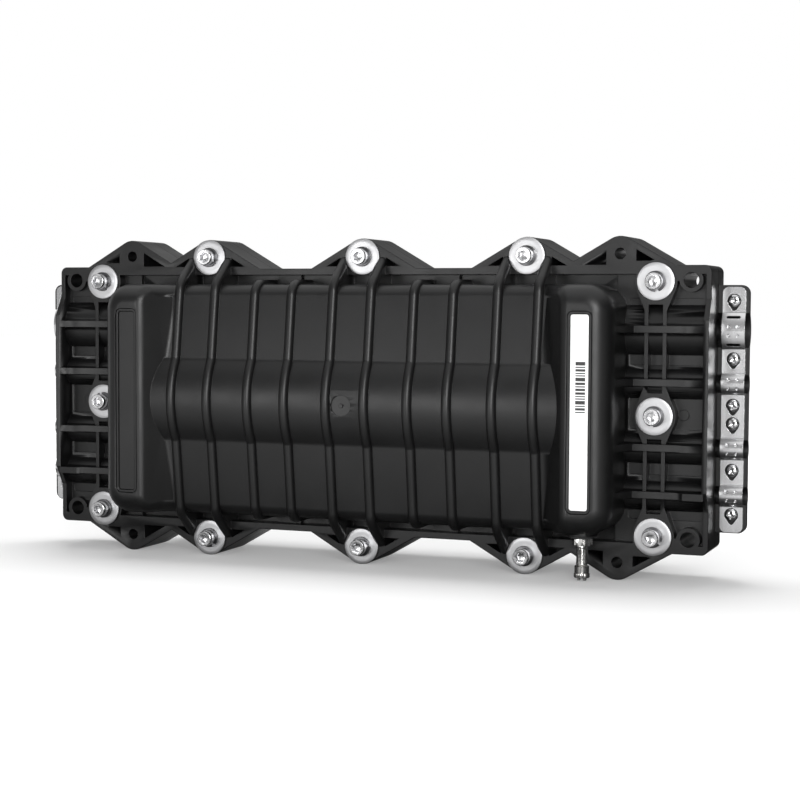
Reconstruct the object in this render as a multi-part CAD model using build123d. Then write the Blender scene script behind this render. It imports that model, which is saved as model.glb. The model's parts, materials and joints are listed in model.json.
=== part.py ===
"""Inline splice closure: two bolted half shells with ports, clamp strips, a valve and hinged splice trays.

Millimetres. The closure stands on its lower bolt lobes. Every piece is drawn seen from the front, with x
along the closure, y up from its long axis and h out from the parting plane towards the viewer, and placed
at the end.
"""
from math import acos, cos, radians, sin, sqrt, tan
import os

from build123d import *

# Flange outline, shared by both half shells
HALF_LENGTH = 214.3
HALF_WIDTH = 82.2
END_PLATE = (24.3, 83.5)
CORNER_R = 4.0
SEAM = 0.4
LOBE_Y = 89.3
LOBE_R = 11.2
LOBE_SLOPE = 30.0
BOLT_LOBE_X = 104.8
HOLE_LOBE_X = 161.0
HOLE_LOBE_HOLE_Y = 90.2
HOLE_LOBE_HOLE_R = 3.3
CORNER_HOLE = (202.6, 74.8)
CORNER_HOLE_R = 4.45
CORNER_RING_R = 6.9
END_BOLT = (182.2, 74.1)
MIDDLE_BOLT_Y = -3.9
LIP_Y = 78.3
CHANNEL_END_X = 158.0

# Triangular pockets of the lobes: distance from the hole's axis, reach beyond it, foot and top
BOLT_POCKET = dict(near=15.0, reach=9.4, foot=5.1, top=-0.5)
HOLE_POCKET_OUT = dict(near=9.4, reach=11.6, foot=7.7, top=3.4)
HOLE_POCKET_IN = dict(near=-8.4, reach=-15.4, foot=5.4, top=3.3)

# Heights of the two halves, out from the parting plane
COVER = dict(flange=21.5, channel=11.0, plateau=14.5, rim=28.5, rib=24.5, gusset=43.0, pocket=6.0,
             big_crest=21.5, big_chord=14.4, small_crest=20.3, small_chord=8.6)
BASE = dict(flange=16.5, channel=8.0, plateau=11.0, rim=20.5, rib=18.5, gusset=34.0, pocket=5.0,
            big_crest=20.4, big_chord=15.5, small_crest=16.6, small_chord=10.5)

# Tub, the raised middle of each half
TUB_HALF_LENGTH = 164.0
TUB_HALF_WIDTH = 72.2
TUB_HEIGHT = 56.6
TUB_WALL = 3.5
TUB_CORNER_R = 16.0
TUB_EDGE_R = 12.0
FLANK_TOP_X = 136.5
FLANK_ANGLE = 50.5
FLANK_R = 8.0
SHOULDER_HEIGHT = 38.0
SHOULDER_R = 8.0
CREASE_Y = 25.0
CREASE_HEIGHT = 44.0
CREASE_R = 6.0
CROWN_HEIGHT = 51.0
BLOCK_INNER_X = 100.0

# Belts over the tub and their feet on the bolt lobes
BELT_R = 3.1
BELT_PAIR_X = 12.4
PLAIN_BELT_X = (40.0, 64.8)
BELT_TIP_Y = 85.8
BELT_BEND_R = 12.0
BELT_WEB = 4.2
PAD_RISE = 3.0
PAD_GAP = 1.7

# Ends: port axes, humps, ribs, recesses
BIG_PORT_Y = 46.0
SMALL_PORT_Y = (14.8, -23.0, -50.4)
END_RIB_Y = (46.5, 15.7, -22.0, -49.5)
END_RIB_WIDTH = 4.1
RIB_SHELF = (11.0, 15.0)
GUSSET_FOOT = (4.2, 6.2)
END_WALL = 3.0
RIM_TOP_Y = (-47.0, 52.0)
RIM_RAMP = 12.0
CROSS_RIB_X = (176.8, 187.5)
CROSS_RIB_WIDTH = 2.3
BOLT_BOSS_R = 12.4
WRENCH = (5.0, 17.0)
WRENCH_WAIST = 1.1
WRENCH_WINDOW = (13.4, 23.4)
RECESS_DEPTH = 1.0
RECESS_X = (165.7, 209.5)
RECESS_Y = ((59.7, 64.4), (25.5, 31.9), (-12.0, 6.2), (-38.5, -31.8), (-64.7, -59.2))
RECESS_R = 1.6
PIP_R = 3.15
PIP_X = 197.7
PIP_Y = 0.6
SINK = 2.0

# Cable ports and their rubber plugs
CHAMBER_X = (168.0, 207.0)
BIG_CHAMBER_R = 16.5
SMALL_CHAMBER_R = 12.5
BIG_MOUTH_R = 7.0
SMALL_MOUTH_R = 4.0
PLUG_GAP = 0.2
PLUG_GROOVE = 1.4
PLUG_LANDS = 5
PLUG_RECESS = 2.0

# Sealing strips
SEAL_WIDTH = 3.5
SEAL_DEPTH = 2.5
SEAL_Y = 74.4
SEAL_END_Y = 66.7
SEAL_END_X = 206.0
SEAL_JOG_X = (160.0, 169.0)

# Cover screws M6 with flat and spring washers, nuts captive in the base
BOLT_HOLE_R = 3.3
BOLT_R = 3.0
BOLT_LENGTH = 40.0
BOLT_HEAD_R = 5.0
BOLT_HEAD = 6.0
BOLT_SOCKET = 5.0
BOLT_SOCKET_DEPTH = 3.2
WASHER_R = 11.0
WASHER_HOLE_R = 3.2
WASHER = 1.5
SEAT_GAP = 0.3
SPRING_WASHER_R = 6.1
SPRING_WASHER_HOLE_R = 3.15
SPRING_WASHER = 1.6
SPRING_SPLIT = 0.8
NUT_FLATS = 10.0
NUT = 5.0
NUT_POCKET = 5.5
NUT_GAP = 0.15

# Clamp ledges at the base's ends and the stainless strips on them; a saddle is half chord and rise
LEDGE_X = 232.4
LEDGE_HALF_WIDTH = 72.3
LEDGE = 4.0
LEDGE_R = 5.0
GUTTER_WALL = 2.0
BIG_GUTTER = 5.0
SMALL_GUTTER = 3.5
BOSS_WALL = 2.4
STRIP_X = (217.1, 230.5)
STRIP_Y = (-71.8, 71.2)
STRIP = 1.5
STRIP_R = 3.5
STRIP_BEND_R = 1.2
BIG_SADDLE = (10.1, 3.5)
SMALL_SADDLE = (5.3, 2.9)
BIG_SADDLE_SHIFT = -0.4
ARCH_HOLE_R = 0.95
ARCH_HOLE_X = 2.6
ARCH_HOLE_Y = 2.5
SLOT = (8.0, 1.5)
SLOT_Y = 8.0
STRIP_SCREW_Y = (63.1, 29.3, 2.3, -8.4, -35.6, -61.5)
KEYHOLE_R = 4.05
KEYHOLE_TIP = 5.7
KEYHOLE_TIP_R = 1.6
KEYHOLE_DEPTH = 0.75
SCREW_HEAD_R = 3.6
SCREW_HEAD = 2.4
SCREW_R = 1.9
SCREW_LENGTH = 8.0
SCREW_HOLE_GAP = 0.2
CROSS = (3.4, 0.9, 1.3)

# Label places on the end blocks
LABEL_X = 146.1
LABEL_Y = (-56.8, 54.9)
LABEL_WIDTH = 10.6
LABEL = 0.3
LABEL_R = 1.5
FRAME_STEP = 1.7
FRAME_DEPTH = 0.65
LABEL_GAP = 0.4

# Gate mark in the middle of the crown
GATE = (-2.4, -0.9)
GATE_R = 6.4
GATE_DEPTH = 0.9
GATE_PIP_R = 1.3

# Air valve in the lower wall of the right block
VALVE_X = 143.0
VALVE_H = 33.0
VALVE_BOSS_R = 9.0
VALVE_BOSS = 1.5
VALVE_SEAL = 1.4
VALVE_SEAL_EDGE = 3.0
VALVE_HEX = 10.8
VALVE_HEX_LENGTH = 4.3
VALVE_THREAD_R = 4.0
VALVE_THREAD_GAP = 0.1
VALVE_STEM_R = 3.4
VALVE_STEM_END_Y = -91.4
VALVE_NECK_R = 2.6
VALVE_NECK_LENGTH = 5.0
VALVE_BORE_R = 1.5
VALVE_LOCKNUT = 4.0
LOCKNUT_FLATS = 10.0
VALVE_INSIDE = 7.0
VALVE_SEAT_DEPTH = 8.5
VALVE_SEAT = 1.5
PIN_R = 0.8
PIN_GAP = 0.1
PIN_HEAD_R = 1.35
PIN_HEAD = 1.5
PIN_DROP = 0.8
CAP_R = 4.25
CAP_BODY_LENGTH = 4.3
CAP_RIM_R = 4.65
CAP_RIM_LENGTH = 2.6
CAP_GAP = 0.05
CAP_ROOM = 0.9
CAP_PRONG = (1.6, 1.5, 1.6)
CAP_PRONG_Y = 1.8

# Carrier plate, tray bracket and hinged splice trays
PLATE_H = -30.0
SHEET = 1.5
PLATE_HALF = (154.0, 50.0)
PLATE_R = 6.0
POST_R = 4.5
POST_SITE = (147.0, 42.0)
TRAY_PITCH = 9.0
TRAY_BOTTOM_H = -18.0
TRAY_HEIGHT = 7.5
TRAY_X = (-108.0, 118.0)
TRAY_HALF_WIDTH = 54.0
TRAY_FLOOR = 1.6
TRAY_WALL = 2.0
TRAY_R = 24.0
HINGE_X = -114.0
HINGE_PIN_R = 1.5
HINGE_GAP = 0.1
EAR_WIDTH = 5.0
EAR_REACH = 3.2
CHEEK_GAP = 1.0
CHEEK_HALF = 9.0
REST_X = 108.0
REST_Y = 30.0
REST_WIDTH = 12.0
REST_GAP = 0.3
NUB_R = 2.0
DRUM_X = (-62.0, 72.0)
DRUM_R = 30.0
DRUM_WALL = 1.6
DRUM_HEIGHT = 4.6
DRUM_OPENING = 26.0
HOLDER_HALF = (7.5, 30.0)
HOLDER_FOOT = 1.2
HOLDER_HEIGHT = 5.2
HOLDER_SLOTS = 12
HOLDER_SLOT = 3.0
LID = 1.4
LID_LIP = 2.6
LID_GAP = 0.3
CLAMP_X = 134.5
CLAMP = (13.0, 14.0, 17.0)
CLAMP_HOLE_R = 1.8
CLAMP_HOLE_OFFSET = (4.6, 5.0)
M4_R = 2.0
M4_HEAD_R = 3.8
M4_HEAD = 2.6
M4_LENGTH = 10.0
M4_PILOT_GAP = 0.05

# Values worked out from the sizes above
AXIS_HEIGHT = LOBE_Y + LOBE_R
BOLTS = ([(side * END_BOLT[0], y) for side in (-1, 1) for y in (END_BOLT[1], MIDDLE_BOLT_Y, -END_BOLT[1])]
         + [(x, side * LOBE_Y) for x in (-BOLT_LOBE_X, 0, BOLT_LOBE_X) for side in (-1, 1)])
PORTS = ([(BIG_PORT_Y, BIG_CHAMBER_R, BIG_MOUTH_R)]
         + [(y, SMALL_CHAMBER_R, SMALL_MOUTH_R) for y in SMALL_PORT_Y])
BELTS = [x + side * BELT_PAIR_X for x in (-BOLT_LOBE_X, 0, BOLT_LOBE_X) for side in (-1, 1)]
LABEL_MID_Y = (LABEL_Y[0] + LABEL_Y[1]) / 2
LABEL_LENGTH = LABEL_Y[1] - LABEL_Y[0]
PLATE_TOP_H = PLATE_H + SHEET
CHEEK_Y = TRAY_HALF_WIDTH + CHEEK_GAP
STRIP_MID_X = (STRIP_X[0] + STRIP_X[1]) / 2
GUTTERS = ([(BIG_PORT_Y, BIG_SADDLE[0], BIG_GUTTER)]
           + [(y, SMALL_SADDLE[0], SMALL_GUTTER) for y in SMALL_PORT_Y])
SADDLES = [(BIG_PORT_Y + BIG_SADDLE_SHIFT, *BIG_SADDLE)] + [(y, *SMALL_SADDLE) for y in SMALL_PORT_Y]
VALVE_HEX_AT = VALVE_BOSS + VALVE_SEAL
VALVE_END = -TUB_HALF_WIDTH - VALVE_STEM_END_Y
NECK_END = VALVE_END + VALVE_NECK_LENGTH
VALVE_SEAT_AT = NECK_END - VALVE_SEAT_DEPTH


def block(x, y, h):
    """Box between two values in each direction."""
    size = [high - low for low, high in (x, y, h)]
    middle = [(high + low) / 2 for low, high in (x, y, h)]
    return Pos(*middle) * Box(*size)


def outline(*points):
    """Flat outline through points, where they are."""
    return Polygon(*points, align=None)


def both(shape, plane):
    """A shape and its mirror image."""
    return [shape, mirror(shape, about=plane)]


def four(shape):
    """A shape, its images left and right, above and below."""
    return both(shape, Plane.YZ) + both(mirror(shape, about=Plane.XZ), Plane.YZ)


def rod(radius, start, end, at=(0, 0)):
    """Round bar out from the parting plane at a place (x, y)."""
    return Pos(at[0], at[1], (start + end) / 2) * Cylinder(radius, end - start)


def bar_along_x(radius, x, y, h=0.0):
    """Round bar along the closure."""
    return Pos((x[0] + x[1]) / 2, y, h) * Rot(0, 90, 0) * Cylinder(radius, x[1] - x[0])


def bar_along_y(radius, x, y, h):
    """Round bar across the closure."""
    return Pos(x, (y[0] + y[1]) / 2, h) * Rot(90, 0, 0) * Cylinder(radius, y[1] - y[0])


def raised(face, height):
    """Flat shape in plan, drawn out from the parting plane."""
    return extrude(face, height, dir=(0, 0, 1))


def prism_x(face, x):
    """Section drawn in y and h, drawn out along x between two values."""
    return extrude(Plane.YZ.offset(x[0]) * face, x[1] - x[0], dir=(1, 0, 0))


def prism_y(face, y):
    """Section drawn in x and h, drawn out along y between two values."""
    return extrude(Plane.XZ.offset(-y[0]) * face, y[1] - y[0], dir=(0, 1, 0))


def lobe(x):
    """Pointed lobe above the straight edge, its flanks tangent to the round tip."""
    tip_x = LOBE_R * sin(radians(LOBE_SLOPE))
    tip_y = LOBE_Y + LOBE_R * cos(radians(LOBE_SLOPE))
    foot = tip_x + (tip_y - HALF_WIDTH) / tan(radians(LOBE_SLOPE))
    body = outline((-foot, HALF_WIDTH), (-foot, 0), (foot, 0), (foot, HALF_WIDTH), (tip_x, tip_y),
                   (-tip_x, tip_y))
    return Pos(x, 0) * (body + Pos(0, LOBE_Y) * Circle(LOBE_R))


def flange_outline():
    """Long rectangle with wider end plates and five lobes on each long side."""
    length, half_width = END_PLATE
    face = RectangleRounded(2 * HALF_LENGTH, 2 * HALF_WIDTH, CORNER_R)
    for side in (-1, 1):
        face += Pos(side * (HALF_LENGTH - length / 2), 0) * RectangleRounded(length, 2 * half_width, CORNER_R)
    for x in (-HOLE_LOBE_X, -BOLT_LOBE_X, 0, BOLT_LOBE_X, HOLE_LOBE_X):
        face += both(lobe(x), Plane.XZ)
    return face


def lobe_pocket(place, half, foot_from, top_from):
    """Triangular pocket beside the axis of a lobe's hole, above the closure's long axis."""
    near, far = place["near"], place["near"] + place["reach"]
    foot = foot_from + place["foot"]
    face = outline((near, foot), (near, top_from + place["top"]), (far, foot))
    return Pos(0, 0, half["pocket"]) * raised(face, half["flange"] - half["pocket"] + 1)


def lobe_pockets(half):
    """Triangular pockets beside the bolts and the hole lobes' holes."""
    cuts = []
    for piece in both(lobe_pocket(BOLT_POCKET, half, LIP_Y, LOBE_Y), Plane.YZ):
        for x in (-BOLT_LOBE_X, 0, BOLT_LOBE_X):
            cuts += both(Pos(x, 0, 0) * piece, Plane.XZ)
    for place in (HOLE_POCKET_OUT, HOLE_POCKET_IN):
        cuts += four(Pos(HOLE_LOBE_X, 0, 0) * lobe_pocket(place, half, LIP_Y, LOBE_Y))
    return cuts


def wrench(half_gap):
    """Waist of a bolt boss that runs out into the two cross ribs, with a window between them."""
    start, end = WRENCH
    wide, narrow = BOLT_BOSS_R - 1, half_gap + WRENCH_WAIST
    low, high = WRENCH_WINDOW
    window = Pos(0, (low + high) / 2) * Rectangle(2 * half_gap - CROSS_RIB_WIDTH, high - low)
    return outline((-wide, start), (wide, start), (narrow, end), (-narrow, end)) - window


def end_bosses(half):
    """Wrench-shaped bolt bosses with the two cross ribs between them, and the rings of the corner holes."""
    rib_x = (CROSS_RIB_X[0] + CROSS_RIB_X[1]) / 2
    waist = wrench((CROSS_RIB_X[1] - CROSS_RIB_X[0]) / 2)
    x_bolt, y_bolt = END_BOLT
    face = Sketch()
    for x in CROSS_RIB_X:
        face += Pos(x, 0) * Rectangle(CROSS_RIB_WIDTH, 2 * y_bolt)
    for y, turns in ((y_bolt, (180,)), (MIDDLE_BOLT_Y, (0, 180)), (-y_bolt, (0,))):
        face += Pos(x_bolt, y) * Circle(BOLT_BOSS_R)
        for turn in turns:
            face += Pos(rib_x, y) * Rot(0, 0, turn) * waist
    for side in (-1, 1):
        face += Pos(CORNER_HOLE[0], side * CORNER_HOLE[1]) * Circle(CORNER_RING_R)
        middle = ((x_bolt + CORNER_HOLE[0]) / 2, side * (CORNER_HOLE[1] + LIP_Y) / 2)
        face += Pos(*middle) * Rectangle(CORNER_HOLE[0] - x_bolt, LIP_Y - CORNER_HOLE[1] + 1)
    return raised(face, half["flange"])


def end_ribs(half):
    """Ribs along the ports, from the raised end wall to gussets up the tub."""
    inner = HALF_LENGTH - END_WALL
    start = TUB_HALF_LENGTH - SINK
    rib, rim, gusset = half["rib"], half["rim"], half["gusset"]
    side = outline((start, 1), (inner + 1, 1), (inner + 1, rim), (inner - RIB_SHELF[0], rim),
                   (inner - RIB_SHELF[1], rib), (TUB_HALF_LENGTH + GUSSET_FOOT[1], rib),
                   (TUB_HALF_LENGTH + GUSSET_FOOT[0], rim), (TUB_HALF_LENGTH - 0.5, gusset), (start, gusset))
    return [prism_y(side, (y - END_RIB_WIDTH / 2, y + END_RIB_WIDTH / 2)) for y in END_RIB_Y]


def hump(y, crest, chord, half):
    """Round back of a port chamber above the plateau."""
    rise = crest - half["plateau"]
    radius = (chord ** 2 + rise ** 2) / (2 * rise)
    back = bar_along_x(radius, (TUB_HALF_LENGTH - SINK, HALF_LENGTH - 1), y, crest - radius)
    return back & block((0, HALF_LENGTH), (y - chord, y + chord), (half["plateau"] - SINK, crest + 1))


def end_wall(half):
    """Raised middle of the end wall, sloping down to the flange at both ends."""
    low, high = RIM_TOP_Y
    face = outline((low - RIM_RAMP, half["flange"]), (low, half["rim"]), (high, half["rim"]),
                   (high + RIM_RAMP, half["flange"]), (high + RIM_RAMP, 1), (low - RIM_RAMP, 1))
    return prism_x(face, (HALF_LENGTH - END_WALL, HALF_LENGTH))


def plateau_recesses(half):
    """Shallow rounded recesses between the humps."""
    cuts = []
    for low, high in RECESS_Y:
        face = Pos((RECESS_X[0] + RECESS_X[1]) / 2, (low + high) / 2) * RectangleRounded(
            RECESS_X[1] - RECESS_X[0], high - low, RECESS_R)
        cuts.append(Pos(0, 0, half["plateau"] - RECESS_DEPTH) * raised(face, RECESS_DEPTH + 0.5))
    return cuts


def closure_end(half):
    """Everything that stands on the plateau at the right end."""
    parts = [hump(BIG_PORT_Y, half["big_crest"], half["big_chord"], half)]
    parts += [hump(y, half["small_crest"], half["small_chord"], half) for y in SMALL_PORT_Y]
    pip = rod(PIP_R, half["plateau"] - RECESS_DEPTH - 1, half["plateau"], (PIP_X, MIDDLE_BOLT_Y + PIP_Y))
    return parts + end_ribs(half) + [end_bosses(half), end_wall(half), pip]


def flange(half):
    """Flange of one half: outline with channel, pockets, plateaus and what stands on them."""
    body = raised(flange_outline(), half["flange"])
    body = chamfer(body.faces().sort_by(Axis.Z)[0].edges() + body.faces().sort_by(Axis.Z)[-1].edges(), SEAM)
    inner_x = HALF_LENGTH - END_WALL
    cuts = [block((-CHANNEL_END_X, CHANNEL_END_X), (-LIP_Y, LIP_Y), (half["channel"], half["flange"] + 1))]
    end = block((CHANNEL_END_X, inner_x), (-LIP_Y, LIP_Y), (half["plateau"], half["flange"] + 1))
    cuts += both(end, Plane.YZ)
    for cut in plateau_recesses(half):
        cuts += both(cut, Plane.YZ)
    body = body - cuts - lobe_pockets(half)
    parts = []
    for piece in closure_end(half):
        parts += both(piece, Plane.YZ)
    return body + parts + channel_pads(half)


def channel_pads(half):
    """Raised pads on the channel floor under the bolts and between the belt pairs."""
    floor, top = half["channel"] - 1, half["channel"] + PAD_RISE
    reach = BELT_PAIR_X - BELT_R - PAD_GAP
    pads = []
    for x in (-BOLT_LOBE_X, 0, BOLT_LOBE_X):
        pads += both(block((x - reach, x + reach), (TUB_HALF_WIDTH - 2, LIP_Y + 1), (floor, top)), Plane.XZ)
    gap = PAD_GAP + BELT_R
    for x in both_sides((PLAIN_BELT_X[0] + gap, PLAIN_BELT_X[1] - gap)):
        pads += both(block(x, (TUB_HALF_WIDTH - 2, LIP_Y + 1), (floor, top)), Plane.XZ)
    return pads


def both_sides(span):
    """A span along x and its mirror image."""
    return [span, (-span[1], -span[0])]


def crown_section(inset, foot, tip=None):
    """Section across the tub between its end blocks: shoulders, creases and a round crown.

    With a tip the sides splay out from the shoulders to it, as the belts beside a bolt do."""
    side = TUB_HALF_WIDTH - inset
    shoulder = SHOULDER_HEIGHT - inset
    crease = CREASE_HEIGHT - inset
    right = [(CREASE_Y, crease), (side, shoulder), (tip if tip else side, foot)]
    left = [(-y, h) for y, h in reversed(right)]
    sides = Polyline(*right, *left)
    crown = ThreePointArc((CREASE_Y, crease), (0, CROWN_HEIGHT - inset), (-CREASE_Y, crease))
    face = make_face(sides + crown)
    face = round_corners(face, side, shoulder, BELT_BEND_R if tip else SHOULDER_R - inset)
    return round_corners(face, CREASE_Y, crease, CREASE_R + inset)


def round_corners(face, x, y, radius):
    """Round the two mirrored corners of a flat face."""
    corners = [v for v in face.vertices() if abs(abs(v.X) - x) < 0.01 and abs(v.Y - y) < 0.01]
    return fillet(corners, radius)


def tub_block(inset):
    """Right end block: round outer corners and top edges, sloping flank towards the middle."""
    top = TUB_HEIGHT - inset
    side = TUB_HALF_WIDTH - inset
    far = TUB_HALF_LENGTH - inset
    plan = outline((BLOCK_INNER_X, -side), (far, -side), (far, side), (BLOCK_INNER_X, side))
    plan = fillet([v for v in plan.vertices() if v.X > BLOCK_INNER_X + 1], TUB_CORNER_R - inset)
    body = raised(plan, top)
    rim = [e for e in body.edges().filter_by_position(Axis.Z, top - 0.01, top + 0.01)
           if e.center().X > BLOCK_INNER_X + 0.01]
    body = fillet(rim, TUB_EDGE_R - inset)
    slope = tan(radians(FLANK_ANGLE))
    flank_x = FLANK_TOP_X - inset / slope + inset / sin(radians(FLANK_ANGLE))
    fall = (flank_x - BLOCK_INNER_X) * slope
    above = outline((flank_x + 1 / slope, top + 1), (BLOCK_INNER_X, top - fall),
                    (BLOCK_INNER_X - 5, top - fall), (BLOCK_INNER_X - 5, top + 1))
    body -= prism_y(above, (-side - 5, side + 5))
    edges = [e for e in body.edges() if on_flank(e, flank_x, top, slope) and e.center().Z > top - 3]
    return fillet(edges, FLANK_R - inset)


def on_flank(edge, flank_x, top, slope):
    """True where an edge lies in the plane of the flank."""
    ends = [edge @ 0, edge @ 0.5, edge @ 1]
    return all(abs((p.X - flank_x) * slope - (p.Z - top)) < 0.02 for p in ends)


def tub(inset, floor):
    """The raised middle of a half: two end blocks and the crowned stretch between them."""
    end = tub_block(inset)
    middle = prism_x(crown_section(inset, floor), (-BLOCK_INNER_X - 35, BLOCK_INNER_X + 35))
    return middle + both(end, Plane.YZ)


def belt(x, half, splayed):
    """Round belt over the tub, down to the channel floor or splayed out onto the bolt lobe."""
    foot = half["flange"] if splayed else half["channel"]
    section = crown_section(0, foot, BELT_TIP_Y if splayed else None)
    edges = [e for e in section.edges() if abs(e.center().Y - foot) > 0.01]
    path = Plane.YZ.offset(x) * Wire(edges)
    bead = sweep(Plane(path @ 0, z_dir=path % 0) * Circle(BELT_R), path=path)
    if not splayed:
        return [bead]
    tips = [Pos(x, side * BELT_TIP_Y, foot) * Sphere(BELT_R) for side in (-1, 1)]
    return [bead] + tips + belt_webs(x, half)


def belt_webs(x, half):
    """Webs that carry a splayed belt over the channel."""
    foot = half["flange"]
    inner = TUB_HALF_WIDTH - 1.5
    web = outline((inner, half["channel"] - 1), (LIP_Y + 1, half["channel"] - 1), (LIP_Y + 1, foot - 1),
                  (BELT_TIP_Y, foot - 1), (BELT_TIP_Y, foot), (TUB_HALF_WIDTH, SHOULDER_HEIGHT - BELT_R / 2),
                  (inner, SHOULDER_HEIGHT - BELT_R / 2))
    return both(prism_x(web, (x - BELT_WEB / 2, x + BELT_WEB / 2)), Plane.XZ)


def port_cavities():
    """Seal chambers and cable mouths at the right end."""
    cuts = []
    for y, chamber_r, mouth_r in PORTS:
        cuts.append(bar_along_x(chamber_r, CHAMBER_X, y))
        cuts.append(bar_along_x(mouth_r, (TUB_HALF_LENGTH - 2 * TUB_WALL, HALF_LENGTH + 1), y))
    return cuts


def half_shell(half):
    """One half shell as moulded, before the features that only one half has."""
    belts = []
    for x in BELTS:
        belts += belt(x, half, True)
    for x in PLAIN_BELT_X:
        belts += belt(x, half, False) + belt(-x, half, False)
    body = flange(half) + tub(0, 1.0) + belts
    body -= tub(TUB_WALL, -1.0)
    for cavity in port_cavities():
        body -= both(cavity, Plane.YZ)
    top = half["rim"] + 2
    body -= [rod(BOLT_HOLE_R, -1, top, at) for at in BOLTS]
    body -= four(rod(CORNER_HOLE_R, -1, top, CORNER_HOLE))
    return body - four(rod(HOLE_LOBE_HOLE_R, -1, top, (HOLE_LOBE_X, HOLE_LOBE_HOLE_Y)))


def label_recess():
    """Stepped frame of a label place, cut into the face of the right block."""
    cuts = []
    for step, depth in ((LABEL_GAP + FRAME_STEP, FRAME_DEPTH), (LABEL_GAP, 2 * FRAME_DEPTH)):
        size = (LABEL_WIDTH + 2 * step, LABEL_LENGTH + 2 * step)
        face = Pos(LABEL_X, LABEL_MID_Y) * RectangleRounded(*size, LABEL_R + step)
        cuts.append(Pos(0, 0, TUB_HEIGHT - depth) * raised(face, depth + 1))
    return cuts


def cover_shell():
    """Front half with label places, gate mark and the valve boss."""
    body = half_shell(COVER)
    body += bar_along_y(VALVE_BOSS_R, VALVE_X, (-TUB_HALF_WIDTH - VALVE_BOSS, -TUB_HALF_WIDTH + 1), VALVE_H)
    body -= [rod(WASHER_R + SEAT_GAP, COVER["flange"], COVER["rim"], at) for at in BOLTS]
    for cut in label_recess():
        body -= both(cut, Plane.YZ)
    gate = rod(GATE_R, CROWN_HEIGHT - GATE_DEPTH, CROWN_HEIGHT + 3, GATE)
    body -= gate
    body += rod(GATE_PIP_R, CROWN_HEIGHT - GATE_DEPTH - 1, CROWN_HEIGHT, GATE)
    bore = bar_along_y(VALVE_THREAD_R + VALVE_THREAD_GAP, VALVE_X,
                       (-TUB_HALF_WIDTH - VALVE_BOSS - 1, -TUB_HALF_WIDTH + 2 * TUB_WALL), VALVE_H)
    return body - bore


def seal_face():
    """Run of the upper sealing strip, in plan."""
    x_in, x_out = SEAL_JOG_X
    points = [(SEAL_END_X, SEAL_END_Y), (x_out, SEAL_END_Y), (x_in, SEAL_Y)]
    points += [(-x, y) for x, y in reversed(points)]
    return trace(FilletPolyline(*points, radius=2 * SEAL_WIDTH), SEAL_WIDTH)


def ledge():
    """Clamp ledge against the base's right end wall, with a shallow gutter for each cable."""
    x = (HALF_LENGTH, LEDGE_X)
    plate = Pos((x[0] + x[1]) / 2, 0) * Rectangle(x[1] - x[0], 2 * LEDGE_HALF_WIDTH)
    plate = fillet([v for v in plate.vertices() if v.X > HALF_LENGTH + 1], LEDGE_R)
    body = raised(plate, LEDGE)
    for y, h, radius in [arch(*gutter) for gutter in GUTTERS]:
        trough = bar_along_x(radius + GUTTER_WALL, x, y, h)
        body += trough & block(x, (y - radius, y + radius), (0, radius))
    for y in STRIP_SCREW_Y:
        body += rod(SCREW_R + BOSS_WALL, 1, SCREW_LENGTH + 1, (STRIP_MID_X, y))
        body -= rod(SCREW_R, -1, SCREW_LENGTH, (STRIP_MID_X, y))
    for y, h, radius in [arch(*gutter) for gutter in GUTTERS]:
        body -= bar_along_x(radius, (x[0] - 1, x[1] + 1), y, h)
    return body


def base_shell():
    """Rear half with nut pockets, seal grooves and posts for the carrier plate."""
    body = half_shell(BASE)
    pocket = raised(RegularPolygon((NUT_FLATS / 2 + NUT_GAP), 6, major_radius=False), NUT_POCKET + 20)
    body -= [Pos(x, y, BASE["flange"] - NUT_POCKET) * pocket for x, y in BOLTS]
    groove = raised(seal_face(), SEAL_DEPTH + 1)
    body -= both(Pos(0, 0, -1) * groove, Plane.XZ)
    floor = TUB_HEIGHT - TUB_WALL
    pilot = rod(M4_R, -PLATE_H - 1, M4_LENGTH - PLATE_H, POST_SITE)
    return body + four(rod(POST_R, -PLATE_H, floor + 1, POST_SITE) - pilot)


def hex_socket_screw(head_h):
    """Socket head cap screw, its head's underside at a height."""
    body = rod(BOLT_R, head_h - BOLT_LENGTH, head_h + 1) + rod(BOLT_HEAD_R, head_h, head_h + BOLT_HEAD)
    rim = body.edges().filter_by(GeomType.CIRCLE).sort_by(Axis.Z)[-1]
    body = chamfer(rim, 0.5)
    socket = raised(RegularPolygon(BOLT_SOCKET / 2, 6, major_radius=False), BOLT_SOCKET_DEPTH + 1)
    return body - Pos(0, 0, head_h + BOLT_HEAD - BOLT_SOCKET_DEPTH) * socket


def ring(outer, inner, start, height):
    """Flat ring with a bore."""
    return rod(outer, start, start + height) - rod(inner, start - 1, start + height + 1)


def spring_washer(start):
    """Spring washer with its slanted split."""
    split = Pos(SPRING_WASHER_R - 1.5, 0, start + SPRING_WASHER / 2) * Rot(30, 0, 0) * Box(6, SPRING_SPLIT, 6)
    return ring(SPRING_WASHER_R, SPRING_WASHER_HOLE_R, start, SPRING_WASHER) - split


def hex_nut():
    """Hexagon nut in its pocket in the base."""
    start = BASE["flange"] - NUT_POCKET
    body = Pos(0, 0, -start - NUT) * raised(RegularPolygon(NUT_FLATS / 2, 6, major_radius=False), NUT)
    return body - rod(BOLT_R, -start - NUT - 1, -start + 1)


def repeated(piece, sites):
    """Like pieces at several sites, as a group of separate solids."""
    return Compound(children=[Pos(x, y, 0) * piece for x, y in sites])


def gasket():
    """Upper sealing strip, as deep as its groove."""
    return Pos(0, 0, -SEAL_DEPTH) * raised(seal_face(), SEAL_DEPTH)


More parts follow.
